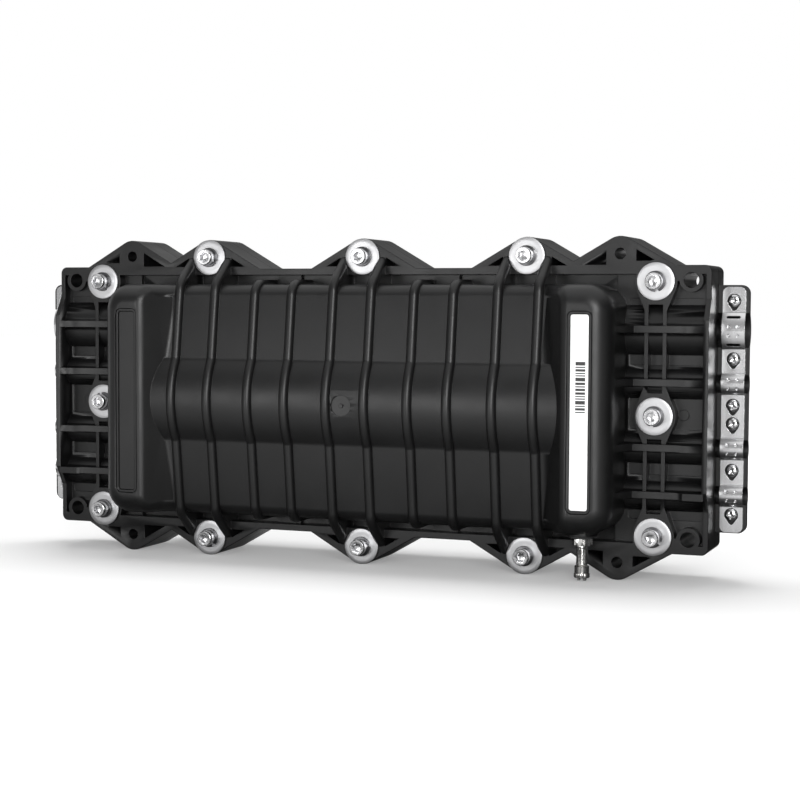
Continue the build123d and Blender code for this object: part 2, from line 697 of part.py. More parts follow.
def port_plug(chamber_r, mouth_r):
    """Ribbed rubber plug with a stub in each cable mouth, turned about x."""
    length = CHAMBER_X[1] - CHAMBER_X[0] - 2 * PLUG_GAP
    pitch = length / (2 * PLUG_LANDS - 1)
    outer = chamber_r - PLUG_GAP
    stub_r = mouth_r - PLUG_GAP
    inside = TUB_HALF_LENGTH - CHAMBER_X[0] - PLUG_GAP
    points = [(inside, 0), (inside, stub_r), (0, stub_r), (0, outer)]
    for land in range(PLUG_LANDS - 1):
        start = (2 * land + 1) * pitch
        points += [(start, outer), (start, outer - PLUG_GROOVE), (start + pitch, outer - PLUG_GROOVE),
                   (start + pitch, outer)]
    end = HALF_LENGTH - PLUG_RECESS - CHAMBER_X[0] - PLUG_GAP
    points += [(length, outer), (length, stub_r), (end, stub_r), (end, 0)]
    face = Plane.XZ * outline(*points)
    return Pos(CHAMBER_X[0] + PLUG_GAP, 0, 0) * revolve(face, Axis.X)


def port_plugs():
    """The four plugs of the right end."""
    return Compound(children=[Pos(0, y, 0) * port_plug(*radii) for y, *radii in PORTS])


def arch(y, half_chord, rise):
    """Place, centre height and radius of a round saddle or gutter, from its half chord and rise."""
    radius = (half_chord ** 2 + rise ** 2) / (2 * rise)
    return y, rise - radius, radius


def strip_section():
    """Bent sheet of the clamp strip, seen along the closure, with a saddle over each gutter."""
    low, high = STRIP_Y
    saddles = [arch(*saddle) for saddle in SADDLES]
    face = outline((low, 0), (high, 0), (high, STRIP), (low, STRIP))
    for y, h, radius in saddles:
        disc = Pos(y, h) * Circle(radius + STRIP)
        face += disc & outline((y - radius, 0), (y + radius, 0), (y + radius, radius), (y - radius, radius))
    for y, h, radius in saddles:
        face -= Pos(y, h) * Circle(radius)
    bends = []
    for y, h, radius in saddles:
        reach = sqrt((radius + STRIP) ** 2 - (STRIP - h) ** 2)
        bends += [v for v in face.vertices() if abs(abs(v.X - y) - reach) < 0.01 and abs(v.Y - STRIP) < 0.01]
    return fillet(bends, STRIP_BEND_R)


def keyhole():
    """Teardrop outline of the stamped seat round a strip's screw."""
    low = KEYHOLE_TIP - KEYHOLE_TIP_R
    turn = acos((KEYHOLE_R - KEYHOLE_TIP_R) / low)
    wide = (KEYHOLE_R * sin(turn), -KEYHOLE_R * cos(turn))
    narrow = (KEYHOLE_TIP_R * sin(turn), -low - KEYHOLE_TIP_R * cos(turn))
    flank = outline(wide, narrow, (-narrow[0], narrow[1]), (-wide[0], wide[1]))
    return Circle(KEYHOLE_R) + flank + Pos(0, -low) * Circle(KEYHOLE_TIP_R)


def clamp_strip():
    """Stainless clamp strip of the right end."""
    body = prism_x(strip_section(), STRIP_X)
    corners = [e for e in body.edges().filter_by(Axis.Z) if abs(e.length - STRIP) < 0.01]
    body = fillet(corners, STRIP_R)
    cuts = []
    for y in STRIP_SCREW_Y:
        cuts.append(Pos(STRIP_MID_X, y, STRIP - KEYHOLE_DEPTH) * raised(keyhole(), 5))
        cuts.append(rod(SCREW_R + SCREW_HOLE_GAP, -1, 5, (STRIP_MID_X, y)))
    for y, _, _ in SADDLES:
        for side_x in (-ARCH_HOLE_X, ARCH_HOLE_X):
            for side_y in (-ARCH_HOLE_Y, ARCH_HOLE_Y):
                cuts.append(rod(ARCH_HOLE_R, 0, 20, (STRIP_MID_X + side_x, y + side_y)))
    y = SADDLES[0][0]
    for side in (-SLOT_Y, SLOT_Y):
        cuts.append(Pos(STRIP_MID_X, y + side, 0) * raised(RectangleRounded(*SLOT, SLOT[1] / 2 - 0.01), 20))
    return body - cuts


def pan_screw(seat, radius, head_r, head, length):
    """Pan head screw with a cross recess, its head's underside at a height."""
    body = rod(head_r, seat, seat + head)
    rim = body.edges().filter_by(GeomType.CIRCLE).sort_by(Axis.Z)[-1]
    body = fillet(rim, head * 0.6) + rod(radius, seat - length, seat + 0.5)
    span, width, depth = (value * head_r / SCREW_HEAD_R for value in CROSS)
    for turn in (0, 90):
        body -= Pos(0, 0, seat + head) * Rot(0, 0, turn) * Box(span, width, 2 * depth)
    return body


def strip_screws():
    """Six screws of the right clamp strip."""
    seat = STRIP - KEYHOLE_DEPTH
    screw = pan_screw(seat, SCREW_R, SCREW_HEAD_R, SCREW_HEAD, SCREW_LENGTH)
    return repeated(screw, [(STRIP_MID_X, y) for y in STRIP_SCREW_Y])


def label():
    """Thin sticker on the floor of the right label place."""
    face = Pos(LABEL_X, LABEL_MID_Y) * RectangleRounded(LABEL_WIDTH, LABEL_LENGTH, LABEL_R)
    return Pos(0, 0, TUB_HEIGHT - 2 * FRAME_DEPTH) * raised(face, LABEL)


def turned_y(profile):
    """Turn a section (distance along -y from the tub wall, radius) about the valve's axis."""
    points = [(radius, -TUB_HALF_WIDTH - along) for along, radius in profile]
    return Pos(VALVE_X, 0, VALVE_H) * revolve(outline(*points), Axis.Y)


def valve_body():
    """Valve body: threaded end through the wall, hexagon, stem and capped neck, bored through to a seat."""
    inside = -TUB_WALL - VALVE_INSIDE
    body = turned_y([(inside, 0), (inside, VALVE_THREAD_R), (VALVE_HEX_AT, VALVE_THREAD_R),
                     (VALVE_HEX_AT, VALVE_STEM_R), (VALVE_END, VALVE_STEM_R), (VALVE_END, VALVE_NECK_R),
                     (NECK_END, VALVE_NECK_R), (NECK_END, 0)])
    hexagon = raised(RegularPolygon(VALVE_HEX / 2, 6, major_radius=False), VALVE_HEX_LENGTH)
    body += Pos(VALVE_X, -TUB_HALF_WIDTH - VALVE_HEX_AT, VALVE_H) * Rot(90, 0, 0) * hexagon
    start, out = inside - 1, NECK_END + 1
    bore = turned_y([(start, 0), (start, VALVE_BORE_R), (out, VALVE_BORE_R), (out, 0)])
    hole, rim = PIN_R + PIN_GAP, VALVE_BORE_R + PIN_GAP
    end = VALVE_SEAT_AT + VALVE_SEAT
    seat = turned_y([(VALVE_SEAT_AT, hole), (VALVE_SEAT_AT, rim), (end, rim), (end, hole)])
    return body - bore + seat


def valve_pin():
    """Core pin whose head closes the seat and frees it when the pin is pushed in."""
    head_end = VALVE_SEAT_AT - PIN_GAP
    start, end = head_end - PIN_HEAD, NECK_END - PIN_DROP
    return turned_y([(start, 0), (start, PIN_HEAD_R), (head_end, PIN_HEAD_R), (head_end, PIN_R), (end, PIN_R),
                     (end, 0)])


def valve_ring(start, height, outer):
    """Ring round the valve's thread."""
    inner = VALVE_THREAD_R
    return turned_y([(start, inner), (start, outer), (start + height, outer), (start + height, inner)])


def valve_locknut():
    """Hexagon nut on the valve's thread inside the cover."""
    hexagon = raised(RegularPolygon(LOCKNUT_FLATS / 2, 6, major_radius=False), VALVE_LOCKNUT)
    wall = -TUB_HALF_WIDTH + TUB_WALL
    body = Pos(VALVE_X, wall + VALVE_LOCKNUT, VALVE_H) * Rot(90, 0, 0) * Rot(0, 0, 30) * hexagon
    return body - bar_along_y(VALVE_THREAD_R, VALVE_X, (wall - 1, wall + VALVE_LOCKNUT + 1), VALVE_H)


def valve_cap():
    """Cap over the valve's neck with a rim and two prongs."""
    start = VALVE_END + CAP_GAP
    rim_at = start + CAP_BODY_LENGTH
    end = rim_at + CAP_RIM_LENGTH
    inner = VALVE_NECK_R + CAP_GAP
    room = NECK_END + CAP_ROOM
    body = turned_y([(start, inner), (start, CAP_R), (rim_at, CAP_R), (rim_at, CAP_RIM_R), (end, CAP_RIM_R),
                     (end, 0), (room, 0), (room, inner)])
    length, width, height = CAP_PRONG
    for side in (-1, 1):
        place = Pos(VALVE_X + side * CAP_PRONG_Y, -TUB_HALF_WIDTH - end - height / 2, VALVE_H)
        body += place * Box(width, height + 0.2, 2 * length)
    return body


def frame_plate():
    """Sheet steel carrier on the base's posts, with rests for the trays' free ends."""
    half_x, half_y = PLATE_HALF
    face = RectangleRounded(2 * half_x, 2 * half_y, PLATE_R)
    for x in (-60, 0, 60):
        face -= Pos(x, 0) * RectangleRounded(44, 2 * half_y - 34, PLATE_R)
    body = Pos(0, 0, PLATE_H) * raised(face, SHEET)
    top = TRAY_BOTTOM_H - REST_GAP
    tab = block((REST_X, REST_X + SHEET), (REST_Y - REST_WIDTH / 2, REST_Y + REST_WIDTH / 2), (PLATE_H, top))
    body += both(tab, Plane.XZ)
    sites = [(side * CLAMP_X, y) for side in (-1, 1) for y, _, _ in PORTS] + bracket_screw_sites()
    body -= [rod(M4_R, PLATE_H - 1, PLATE_TOP_H + 1, at) for at in sites]
    return body - four(rod(M4_R, PLATE_H - 1, PLATE_TOP_H + 1, POST_SITE))


def bracket_screw_sites():
    """Screws of the tray bracket on the carrier plate."""
    return [(HINGE_X, side * (PLATE_HALF[1] - 12)) for side in (-1, 1)]


def hinge_h(level):
    """Height of a tray's hinge axis."""
    return TRAY_BOTTOM_H + level * TRAY_PITCH + TRAY_HEIGHT / 2


def tray_bracket():
    """Folded bracket with a cheek on each side that carries the hinge pins."""
    x = (HINGE_X - CHEEK_HALF, HINGE_X + CHEEK_HALF)
    top = hinge_h(2) + 5
    web = block(x, (-CHEEK_Y - SHEET, CHEEK_Y + SHEET), (PLATE_TOP_H, PLATE_TOP_H + SHEET))
    cheek = block((HINGE_X - 5, HINGE_X + 5), (CHEEK_Y, CHEEK_Y + SHEET), (PLATE_TOP_H, top))
    body = web + both(cheek, Plane.XZ)
    for level in range(3):
        body -= bar_along_y(HINGE_PIN_R + HINGE_GAP, HINGE_X, (-CHEEK_Y - 5, CHEEK_Y + 5), hinge_h(level))
    return body - [rod(M4_R, PLATE_H, PLATE_TOP_H + 5, at) for at in bracket_screw_sites()]


def tray(level):
    """Hinged splice tray: round-cornered pan with two fibre drums, hinge ears and pins."""
    bottom = TRAY_BOTTOM_H + level * TRAY_PITCH
    length = TRAY_X[1] - TRAY_X[0]
    middle = (TRAY_X[0] + TRAY_X[1]) / 2
    outer = raised(RectangleRounded(length, 2 * TRAY_HALF_WIDTH, TRAY_R), TRAY_HEIGHT)
    inner = raised(RectangleRounded(length - 2 * TRAY_WALL, 2 * (TRAY_HALF_WIDTH - TRAY_WALL),
                                     TRAY_R - TRAY_WALL), TRAY_HEIGHT)
    body = Pos(middle, 0, bottom) * (outer - Pos(0, 0, TRAY_FLOOR) * inner)
    floor = bottom + TRAY_FLOOR
    for x in DRUM_X:
        wall = rod(DRUM_R, floor - 0.5, floor + DRUM_HEIGHT, (x, 0))
        wall -= rod(DRUM_R - DRUM_WALL, floor - 1, floor + DRUM_HEIGHT + 1, (x, 0))
        wall -= Pos(x, 0, floor + DRUM_HEIGHT / 2 + 0.5) * Box(2 * DRUM_R + 5, DRUM_OPENING, DRUM_HEIGHT + 2)
        body += wall
    axis = hinge_h(level)
    ear_y = (TRAY_HALF_WIDTH - EAR_WIDTH, TRAY_HALF_WIDTH)
    ear = block((HINGE_X, TRAY_X[0] + TRAY_R), ear_y, (axis - EAR_REACH, axis + EAR_REACH))
    ear += bar_along_y(EAR_REACH, HINGE_X, ear_y, axis)
    ear -= Pos(middle, 0, floor) * inner
    ear += bar_along_y(HINGE_PIN_R, HINGE_X, (TRAY_HALF_WIDTH - 1, CHEEK_Y + SHEET), axis)
    body += both(ear, Plane.XZ)
    if level < 2:
        nub = (TRAY_X[1] - TRAY_WALL - NUB_R + 1.5, REST_Y)
        rest = rod(NUB_R, bottom, bottom + TRAY_PITCH - REST_GAP, nub)
        body += both(rest, Plane.XZ)
    return body


def splice_holder(level):
    """Comb that holds the splice sleeves, on the tray's floor between the drums."""
    floor = TRAY_BOTTOM_H + level * TRAY_PITCH + TRAY_FLOOR
    half_x, half_y = HOLDER_HALF
    middle = (DRUM_X[0] + DRUM_X[1]) / 2
    pitch = 2 * half_y / HOLDER_SLOTS
    body = block((middle - half_x, middle + half_x), (-half_y, half_y), (floor, floor + HOLDER_HEIGHT))
    for slot in range(HOLDER_SLOTS):
        y = -half_y + (slot + 0.5) * pitch
        body -= block((middle - half_x - 1, middle + half_x + 1), (y - HOLDER_SLOT / 2, y + HOLDER_SLOT / 2),
                      (floor + HOLDER_FOOT, floor + HOLDER_HEIGHT + 1))
    return body


def tray_lid():
    """Clear lid on the upper tray, with a lip inside the tray's wall."""
    bottom = TRAY_BOTTOM_H + 2 * TRAY_PITCH + TRAY_HEIGHT
    length = TRAY_X[1] - TRAY_X[0]
    step = TRAY_WALL + LID_GAP
    plate = raised(RectangleRounded(length, 2 * TRAY_HALF_WIDTH, TRAY_R), LID)
    lip = raised(RectangleRounded(length - 2 * step, 2 * (TRAY_HALF_WIDTH - step), TRAY_R - step), LID_LIP)
    step += 1.2
    hollow = raised(RectangleRounded(length - 2 * step, 2 * (TRAY_HALF_WIDTH - step), TRAY_R - step), LID_LIP)
    lip = Pos(0, 0, -LID_LIP) * (lip - hollow)
    return Pos((TRAY_X[0] + TRAY_X[1]) / 2, 0, bottom) * (plate + lip)


def strength_clamps():
    """Four grips for the strength members of the cables at the right end."""
    x, y, h = CLAMP
    body = block((-x / 2, x / 2), (-y / 2, y / 2), (PLATE_TOP_H, PLATE_TOP_H + h))
    aside, down = CLAMP_HOLE_OFFSET
    body -= bar_along_x(CLAMP_HOLE_R, (-x, x), aside, PLATE_TOP_H + h - down)
    body -= rod(M4_R, PLATE_H, PLATE_TOP_H + h + 1)
    return repeated(body, [(CLAMP_X, port[0]) for port in PORTS])


def m4_screws(seat, length, sites):
    """Pan head screws M4 at several sites, heads on a seat."""
    screw = pan_screw(seat, M4_R - M4_PILOT_GAP, M4_HEAD_R, M4_HEAD, length)
    return repeated(screw, sites)


def strength_screws():
    """Screws through the right end's strength member clamps."""
    seat = PLATE_TOP_H + CLAMP[2]
    return m4_screws(seat, CLAMP[2] + SHEET, [(CLAMP_X, port[0]) for port in PORTS])


def placed(piece):
    """Stand a piece up from the drawing frame into the closure's own frame."""
    return Pos(0, 0, AXIS_HEIGHT) * Rot(90, 0, 0) * piece


def pieces():
    """Every node's solid by name, in the drawing frame."""
    flat = COVER["flange"]
    spring_at = flat + WASHER
    head_at = spring_at + SPRING_WASHER
    post_sites = [(x, y) for x in (-POST_SITE[0], POST_SITE[0]) for y in (-POST_SITE[1], POST_SITE[1])]
    result = {
        "cover_shell": cover_shell(),
        "base_shell": mirror(base_shell(), about=Plane.XY),
        "label": label(),
        "cover_bolts": repeated(hex_socket_screw(head_at), BOLTS),
        "flat_washers": repeated(ring(WASHER_R, WASHER_HOLE_R, flat, WASHER), BOLTS),
        "spring_washers": repeated(spring_washer(spring_at), BOLTS),
        "bolt_nuts": repeated(hex_nut(), BOLTS),
        "gasket_top": gasket(),
        "gasket_bottom": mirror(gasket(), about=Plane.XZ),
        "valve_body": valve_body(),
        "valve_seal": valve_ring(VALVE_BOSS, VALVE_SEAL, VALVE_THREAD_R + VALVE_SEAL_EDGE),
        "valve_locknut": valve_locknut(),
        "valve_pin": valve_pin(),
        "valve_cap": valve_cap(),
        "frame_plate": frame_plate(),
        "frame_screws": m4_screws(PLATE_TOP_H, M4_LENGTH, post_sites),
        "tray_bracket": tray_bracket(),
        "bracket_screws": m4_screws(PLATE_TOP_H + SHEET, 2 * SHEET, bracket_screw_sites()),
        "tray_lid": tray_lid(),
    }
    for level, name in enumerate(("lower", "middle", "upper")):
        result[f"tray_{name}"] = tray(level)
        result[f"splice_holder_{name}"] = splice_holder(level)
    ends = {"cable_ledge": mirror(ledge(), about=Plane.XY), "clamp_strip": clamp_strip(),
            "strip_screws": strip_screws(), "port_plugs": port_plugs(), "strength_clamps": strength_clamps(),
            "strength_screws": strength_screws()}
    for name, piece in ends.items():
        result[f"{name}_right"] = piece
        result[f"{name}_left"] = mirror(piece, about=Plane.YZ)
    return result


os.makedirs("parts", exist_ok=True)
for node, solid in pieces().items():
    export_step(placed(solid), f"parts/{node}.step")
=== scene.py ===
"""Looks of the inline splice closure: black moulded shells, zinc screws, stainless strips, nickel valve."""
import json
from math import pi, radians

import bmesh
import bpy
import numpy as np
from mathutils import Matrix, Vector

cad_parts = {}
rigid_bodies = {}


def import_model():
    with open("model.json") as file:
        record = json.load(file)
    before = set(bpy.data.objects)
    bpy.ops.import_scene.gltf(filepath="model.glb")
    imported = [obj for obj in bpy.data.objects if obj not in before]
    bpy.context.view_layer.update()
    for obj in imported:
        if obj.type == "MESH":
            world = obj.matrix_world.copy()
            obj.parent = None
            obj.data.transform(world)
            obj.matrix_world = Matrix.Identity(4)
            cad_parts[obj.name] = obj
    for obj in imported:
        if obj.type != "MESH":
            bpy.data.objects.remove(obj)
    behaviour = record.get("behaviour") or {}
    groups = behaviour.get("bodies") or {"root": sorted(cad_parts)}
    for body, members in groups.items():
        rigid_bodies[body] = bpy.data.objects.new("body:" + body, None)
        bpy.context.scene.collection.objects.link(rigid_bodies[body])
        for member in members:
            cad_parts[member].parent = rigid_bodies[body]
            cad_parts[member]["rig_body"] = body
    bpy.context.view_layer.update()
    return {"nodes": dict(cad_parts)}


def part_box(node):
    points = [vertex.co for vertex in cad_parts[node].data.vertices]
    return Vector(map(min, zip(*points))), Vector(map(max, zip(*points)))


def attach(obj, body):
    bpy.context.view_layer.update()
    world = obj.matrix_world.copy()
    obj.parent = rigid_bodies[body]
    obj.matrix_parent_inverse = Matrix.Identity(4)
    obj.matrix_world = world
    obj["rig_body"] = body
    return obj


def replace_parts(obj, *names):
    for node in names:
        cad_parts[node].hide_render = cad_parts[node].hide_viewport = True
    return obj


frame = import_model()

# The two half shells: black glass-filled polypropylene, moulded with a fine spark grain on every outer face.
# They are the construction's own forms, welded and smoothed over their rounds, with softened edges.
GRAIN = 0.00035
EDGE = 0.0005
SMOOTH_ANGLE = radians(32)
FLAT_ANGLE = radians(0.4)
WELD = 0.000001
FLAT_WEIGHT = 100
NOISE_SPAN = (0.3, 0.7)
BEVEL_SAMPLES = 4


def smooth_copy(node, name):
    """Welded copy of a construction node, its flats whole and its rounds shaded smooth below the angle."""
    copy = frame["nodes"][node].copy()
    copy.data = copy.data.copy()
    copy.name = name
    copy.parent = None
    for key in list(copy.keys()):
        del copy[key]
    bpy.context.scene.collection.objects.link(copy)
    mesh = bmesh.new()
    mesh.from_mesh(copy.data)
    bmesh.ops.remove_doubles(mesh, verts=mesh.verts, dist=WELD)
    bmesh.ops.dissolve_degenerate(mesh, edges=mesh.edges, dist=WELD)
    bmesh.ops.dissolve_limit(mesh, angle_limit=FLAT_ANGLE, verts=mesh.verts, edges=mesh.edges)
    mesh.to_mesh(copy.data)
    mesh.free()
    copy.data.polygons.foreach_set("use_smooth", [True] * len(copy.data.polygons))
    copy.data.set_sharp_from_angle(angle=SMOOTH_ANGLE)
    weights = copy.modifiers.new("flats_stay_flat", "WEIGHTED_NORMAL")
    weights.mode = "FACE_AREA"
    weights.weight = FLAT_WEIGHT
    weights.keep_sharp = True
    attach(copy, frame["nodes"][node]["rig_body"])
    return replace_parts(copy, node)


def coat(piece, material):
    """Give a piece one material in place of those it came with."""
    piece.data.materials.clear()
    piece.data.materials.append(material)


def new_material(name, colour, roughness, metallic=0.0):
    """A plain surface material, returned with its node tree and its shader."""
    material = bpy.data.materials.new(name)
    material.use_nodes = True
    tree = material.node_tree
    shader = tree.nodes["Principled BSDF"]
    shader.inputs["Base Color"].default_value = (*colour, 1.0)
    shader.inputs["Roughness"].default_value = roughness
    shader.inputs["Metallic"].default_value = metallic
    return material, tree, shader


def noise(tree, scale, detail=3.0, stretch=(1, 1, 1)):
    """Noise on the object's own coordinates, stretched along an axis where a brush or flow ran."""
    place = tree.nodes.new("ShaderNodeTexCoord")
    mapping = tree.nodes.new("ShaderNodeMapping")
    mapping.inputs["Scale"].default_value = stretch
    texture = tree.nodes.new("ShaderNodeTexNoise")
    texture.inputs["Scale"].default_value = scale
    texture.inputs["Detail"].default_value = detail
    tree.links.new(place.outputs["Object"], mapping.inputs["Vector"])
    tree.links.new(mapping.outputs["Vector"], texture.inputs["Vector"])
    return texture.outputs["Fac"]


def spread(tree, value, low, high):
    """Map a noise pattern, which keeps to the middle of 0 to 1, onto a range."""
    ramp = tree.nodes.new("ShaderNodeMapRange")
    ramp.inputs["From Min"].default_value, ramp.inputs["From Max"].default_value = NOISE_SPAN
    ramp.inputs["To Min"].default_value = low
    ramp.inputs["To Max"].default_value = high
    tree.links.new(value, ramp.inputs["Value"])
    return ramp.outputs["Result"]


def blend(tree, share, first, second):
    """Mix of two colours, each given as three numbers or as a socket, by a share from 0 to 1."""
    mix = tree.nodes.new("ShaderNodeMix")
    mix.data_type = "RGBA"
    ends = [socket for socket in mix.inputs if socket.type == "RGBA"]
    for socket, colour in zip(ends, (first, second)):
        if isinstance(colour, tuple):
            socket.default_value = (*colour, 1.0)
        else:
            tree.links.new(colour, socket)
    tree.links.new(share, mix.inputs[0])
    return next(socket for socket in mix.outputs if socket.type == "RGBA")


def shades(tree, value, dark, light):
    """Blend two colours by a noise pattern."""
    return blend(tree, spread(tree, value, 0.0, 1.0), dark, light)


def bump(tree, shader, height, distance, strength, edge=0.0):
    """Fine relief from a pattern, over edges softened by a small radius."""
    relief = tree.nodes.new("ShaderNodeBump")
    relief.inputs["Distance"].default_value = distance
    relief.inputs["Strength"].default_value = strength
    tree.links.new(height, relief.inputs["Height"])
    if edge:
        soft = tree.nodes.new("ShaderNodeBevel")
        soft.samples = BEVEL_SAMPLES
        soft.inputs["Radius"].default_value = edge
        tree.links.new(soft.outputs["Normal"], relief.inputs["Normal"])
    tree.links.new(relief.outputs["Normal"], shader.inputs["Normal"])


def moulded_black():
    """Black plastic with spark grain, faint flow clouds and a satin skin."""
    material, tree, shader = new_material("moulded_black", (0.005, 0.005, 0.0052), 0.38)
    clouds = noise(tree, scale=28.0, detail=4.0)
    tree.links.new(shades(tree, clouds, dark=(0.0040, 0.0040, 0.0041), light=(0.0060, 0.0060, 0.0062)),
                   shader.inputs["Base Color"])
    patches = noise(tree, scale=60.0, detail=5.0)
    tree.links.new(spread(tree, patches, low=0.34, high=0.42), shader.inputs["Roughness"])
    bump(tree, shader, noise(tree, scale=1 / GRAIN, detail=2.0), distance=0.00003, strength=0.6, edge=EDGE)
    return material


SHELL_BLACK = moulded_black()
for node in ("cover_shell", "base_shell", "cable_ledge_left", "cable_ledge_right"):
    shell = smooth_copy(node, node + "_skin")
    coat(shell, SHELL_BLACK)

# The label: a white polyester sticker with rounded corners, stuck on the floor of the right-hand label place.
# It carries only a generic block of plain bars.
LABEL_LOW, LABEL_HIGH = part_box("label")
LABEL_CORNER = 0.0015
LABEL_DOME = 0.00012
PLATE_SHARES = (1.0, 1.0, 0.985, 0.9, 0.6, 0.0)
PLATE_DOMES = (1.0, 0.4, 0.0, 0.0, 0.0)
PIECE_WELD = 0.0000002
PIECE_SLIVER = 0.0000001
BAR_SPAN = (0.24, 0.50)
BAR_REACH = (0.30, 0.84)
BAR_WIDTHS = (3, 1, 2, 1, 1, 3, 2, 1, 2, 2, 1, 1, 3, 1, 2, 1)
BAR_RISE = 0.00003
BAR_ROOT = 0.00005
BAR_CORNER = 0.00005
BAR_POINTS = 8


def full_turn(count):
    """Angles evenly spaced round a full turn, from 0."""
    return np.linspace(0, 2 * pi, count, endpoint=False)


def as_piece(name, parts, angle=SMOOTH_ANGLE):
    """One mesh from (points, faces) arrays, its doubles merged and shaded smooth by angle."""
    offset = 0
    points, faces = [], []
    for part_points, part_faces in parts:
        points.append(part_points)
        faces.append(part_faces + offset)
        offset += len(part_points)
    mesh = bpy.data.meshes.new(name)
    mesh.from_pydata(np.concatenate(points).tolist(), [], np.concatenate(faces).tolist())
    work = bmesh.new()
    work.from_mesh(mesh)
    bmesh.ops.remove_doubles(work, verts=work.verts, dist=PIECE_WELD)
    bmesh.ops.dissolve_degenerate(work, edges=work.edges, dist=PIECE_SLIVER)
    bmesh.ops.recalc_face_normals(work, faces=work.faces)
    work.to_mesh(mesh)
    work.free()
    mesh.polygons.foreach_set("use_smooth", [True] * len(mesh.polygons))
    mesh.set_sharp_from_angle(angle=angle)
    piece = bpy.data.objects.new(name, mesh)
    bpy.context.scene.collection.objects.link(piece)
    return piece


def grid_faces(rows, columns):
    """Quads over a grid of rows by columns, joined round the columns."""
    row, column = np.meshgrid(np.arange(rows - 1), np.arange(columns), indexing="ij")
    right = (column + 1) % columns
    return np.stack([row * columns + column, row * columns + right,
                     (row + 1) * columns + right, (row + 1) * columns + column], -1).reshape(-1, 4)


def rounded_plate(low, high, corner, dome, columns=96):
    """Thin plate facing -Y: a rectangle with round corners, drawn in to its middle row by row.

    The outline is sign(cos a) (half - corner) + corner cos a in x, and the same with sin a in z. A row is the
    outline times its share, at the front's depth plus its part of the dome."""
    angle = full_turn(columns)
    half = np.array([(high.x - low.x) / 2, (high.z - low.z) / 2])
    middle = np.array([(high.x + low.x) / 2, (high.z + low.z) / 2])
    edge = np.stack([np.sign(np.cos(angle)) * (half[0] - corner) + corner * np.cos(angle),
                     np.sign(np.sin(angle)) * (half[1] - corner) + corner * np.sin(angle)], -1)
    share = np.array(PLATE_SHARES)
    front = np.concatenate([[high.y], low.y + dome * np.array(PLATE_DOMES)])
    flat = middle + share[:, None, None] * edge[None]
    depth = np.broadcast_to(front[:, None], flat.shape[:2])
    points = np.stack([flat[..., 0], depth, flat[..., 1]], -1)
    return points.reshape(-1, 3), grid_faces(len(share), columns)


def label_bars():
    """Printed bars across the sticker, each a thin plate a hair above it, their widths from a short list."""
    x = np.interp(BAR_REACH, (0, 1), (LABEL_LOW.x, LABEL_HIGH.x))
    total = sum(BAR_WIDTHS) + len(BAR_WIDTHS) - 1
    top, bottom = (LABEL_HIGH.z - share * (LABEL_HIGH.z - LABEL_LOW.z) for share in BAR_SPAN)
    step = (top - bottom) / total
    starts = np.cumsum([0] + [width + 1 for width in BAR_WIDTHS[:-1]])
    parts = []
    for start, width in zip(starts, BAR_WIDTHS):
        high = top - start * step
        low_corner = Vector((x[0], LABEL_LOW.y - BAR_RISE, high - width * step))
        high_corner = Vector((x[1], LABEL_LOW.y + BAR_ROOT, high))
        parts.append(rounded_plate(low_corner, high_corner, BAR_CORNER, 0.0, BAR_POINTS))
    return parts


def paper_white():
    """White polyester film with a trace of unevenness."""
    material, tree, shader = new_material("label_film", (0.92, 0.92, 0.92), 0.38)
    tree.links.new(shades(tree, noise(tree, scale=90.0), dark=(0.90, 0.90, 0.90), light=(0.93, 0.93, 0.93)),
                   shader.inputs["Base Color"])
    bump(tree, shader, noise(tree, scale=500.0), distance=0.00001, strength=0.4)
    return material


def print_black():
    """Dark thermal print."""
    material, tree, shader = new_material("label_ink", (0.03, 0.03, 0.03), 0.5)
    tree.links.new(shades(tree, noise(tree, scale=900.0), dark=(0.02, 0.02, 0.02), light=(0.06, 0.06, 0.06)),
                   shader.inputs["Base Color"])
    return material


sticker = as_piece("label_sticker", [rounded_plate(LABEL_LOW, LABEL_HIGH, LABEL_CORNER, LABEL_DOME)])
coat(sticker, paper_white())
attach(sticker, "housing")
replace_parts(sticker, "label")
bars = as_piece("label_bars", label_bars())
coat(bars, print_black())
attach(bars, "housing")

# The two label places are stepped frames in the blocks' faces. The foot of each step is a sharp, unlit line,
# drawn here as a flat black ring of painted shade in the corner. A step is its reach past the label and its
# lift off the floor that the label is stuck to.
FRAME_STEPS = ((0.00208, 0.00065), (0.0004, 0.0))
SHADE_RING_WIDTH = 0.00045
SHADE_RING_RISE = 0.00004
SHADE_RING_POINTS = 96
SHADE_RING_SPECULAR = 0.05


def ring_of_shade(side, step, lift):
    """Flat painted shade ring on the label's outline grown by a step: corners' radius grows, middles stay."""
    angle = full_turn(SHADE_RING_POINTS)
    grown = np.array([step, step, step - SHADE_RING_WIDTH, step - SHADE_RING_WIDTH, step])[:, None] + LABEL_CORNER
    low, high = (np.array((corner.x, corner.z)) for corner in (LABEL_LOW, LABEL_HIGH))
    half = (high - low) / 2 - LABEL_CORNER
    x = side * (high[0] + low[0]) / 2 + np.sign(np.cos(angle)) * half[0] + grown * np.cos(angle)
    z = (high[1] + low[1]) / 2 + np.sign(np.sin(angle)) * half[1] + grown * np.sin(angle)
    front = LABEL_HIGH.y - lift - SHADE_RING_RISE * np.array([0, 1, 1, 0, 0])[:, None]
    return np.stack([x, np.broadcast_to(front, x.shape), z], -1).reshape(-1, 3), grid_faces(*x.shape)


def painted_shade_black():
    """Painted shade: matt near-black for the corner of a step, where hardly any light comes back."""
    material, tree, shader = new_material("painted_shade_black", (0.001, 0.001, 0.001), 0.9)
    shader.inputs["Specular IOR Level"].default_value = SHADE_RING_SPECULAR
    patches = noise(tree, scale=400.0)
    tree.links.new(shades(tree, patches, dark=(0.0008, 0.0008, 0.0008), light=(0.0014, 0.0014, 0.0014)),
                   shader.inputs["Base Color"])
    return material
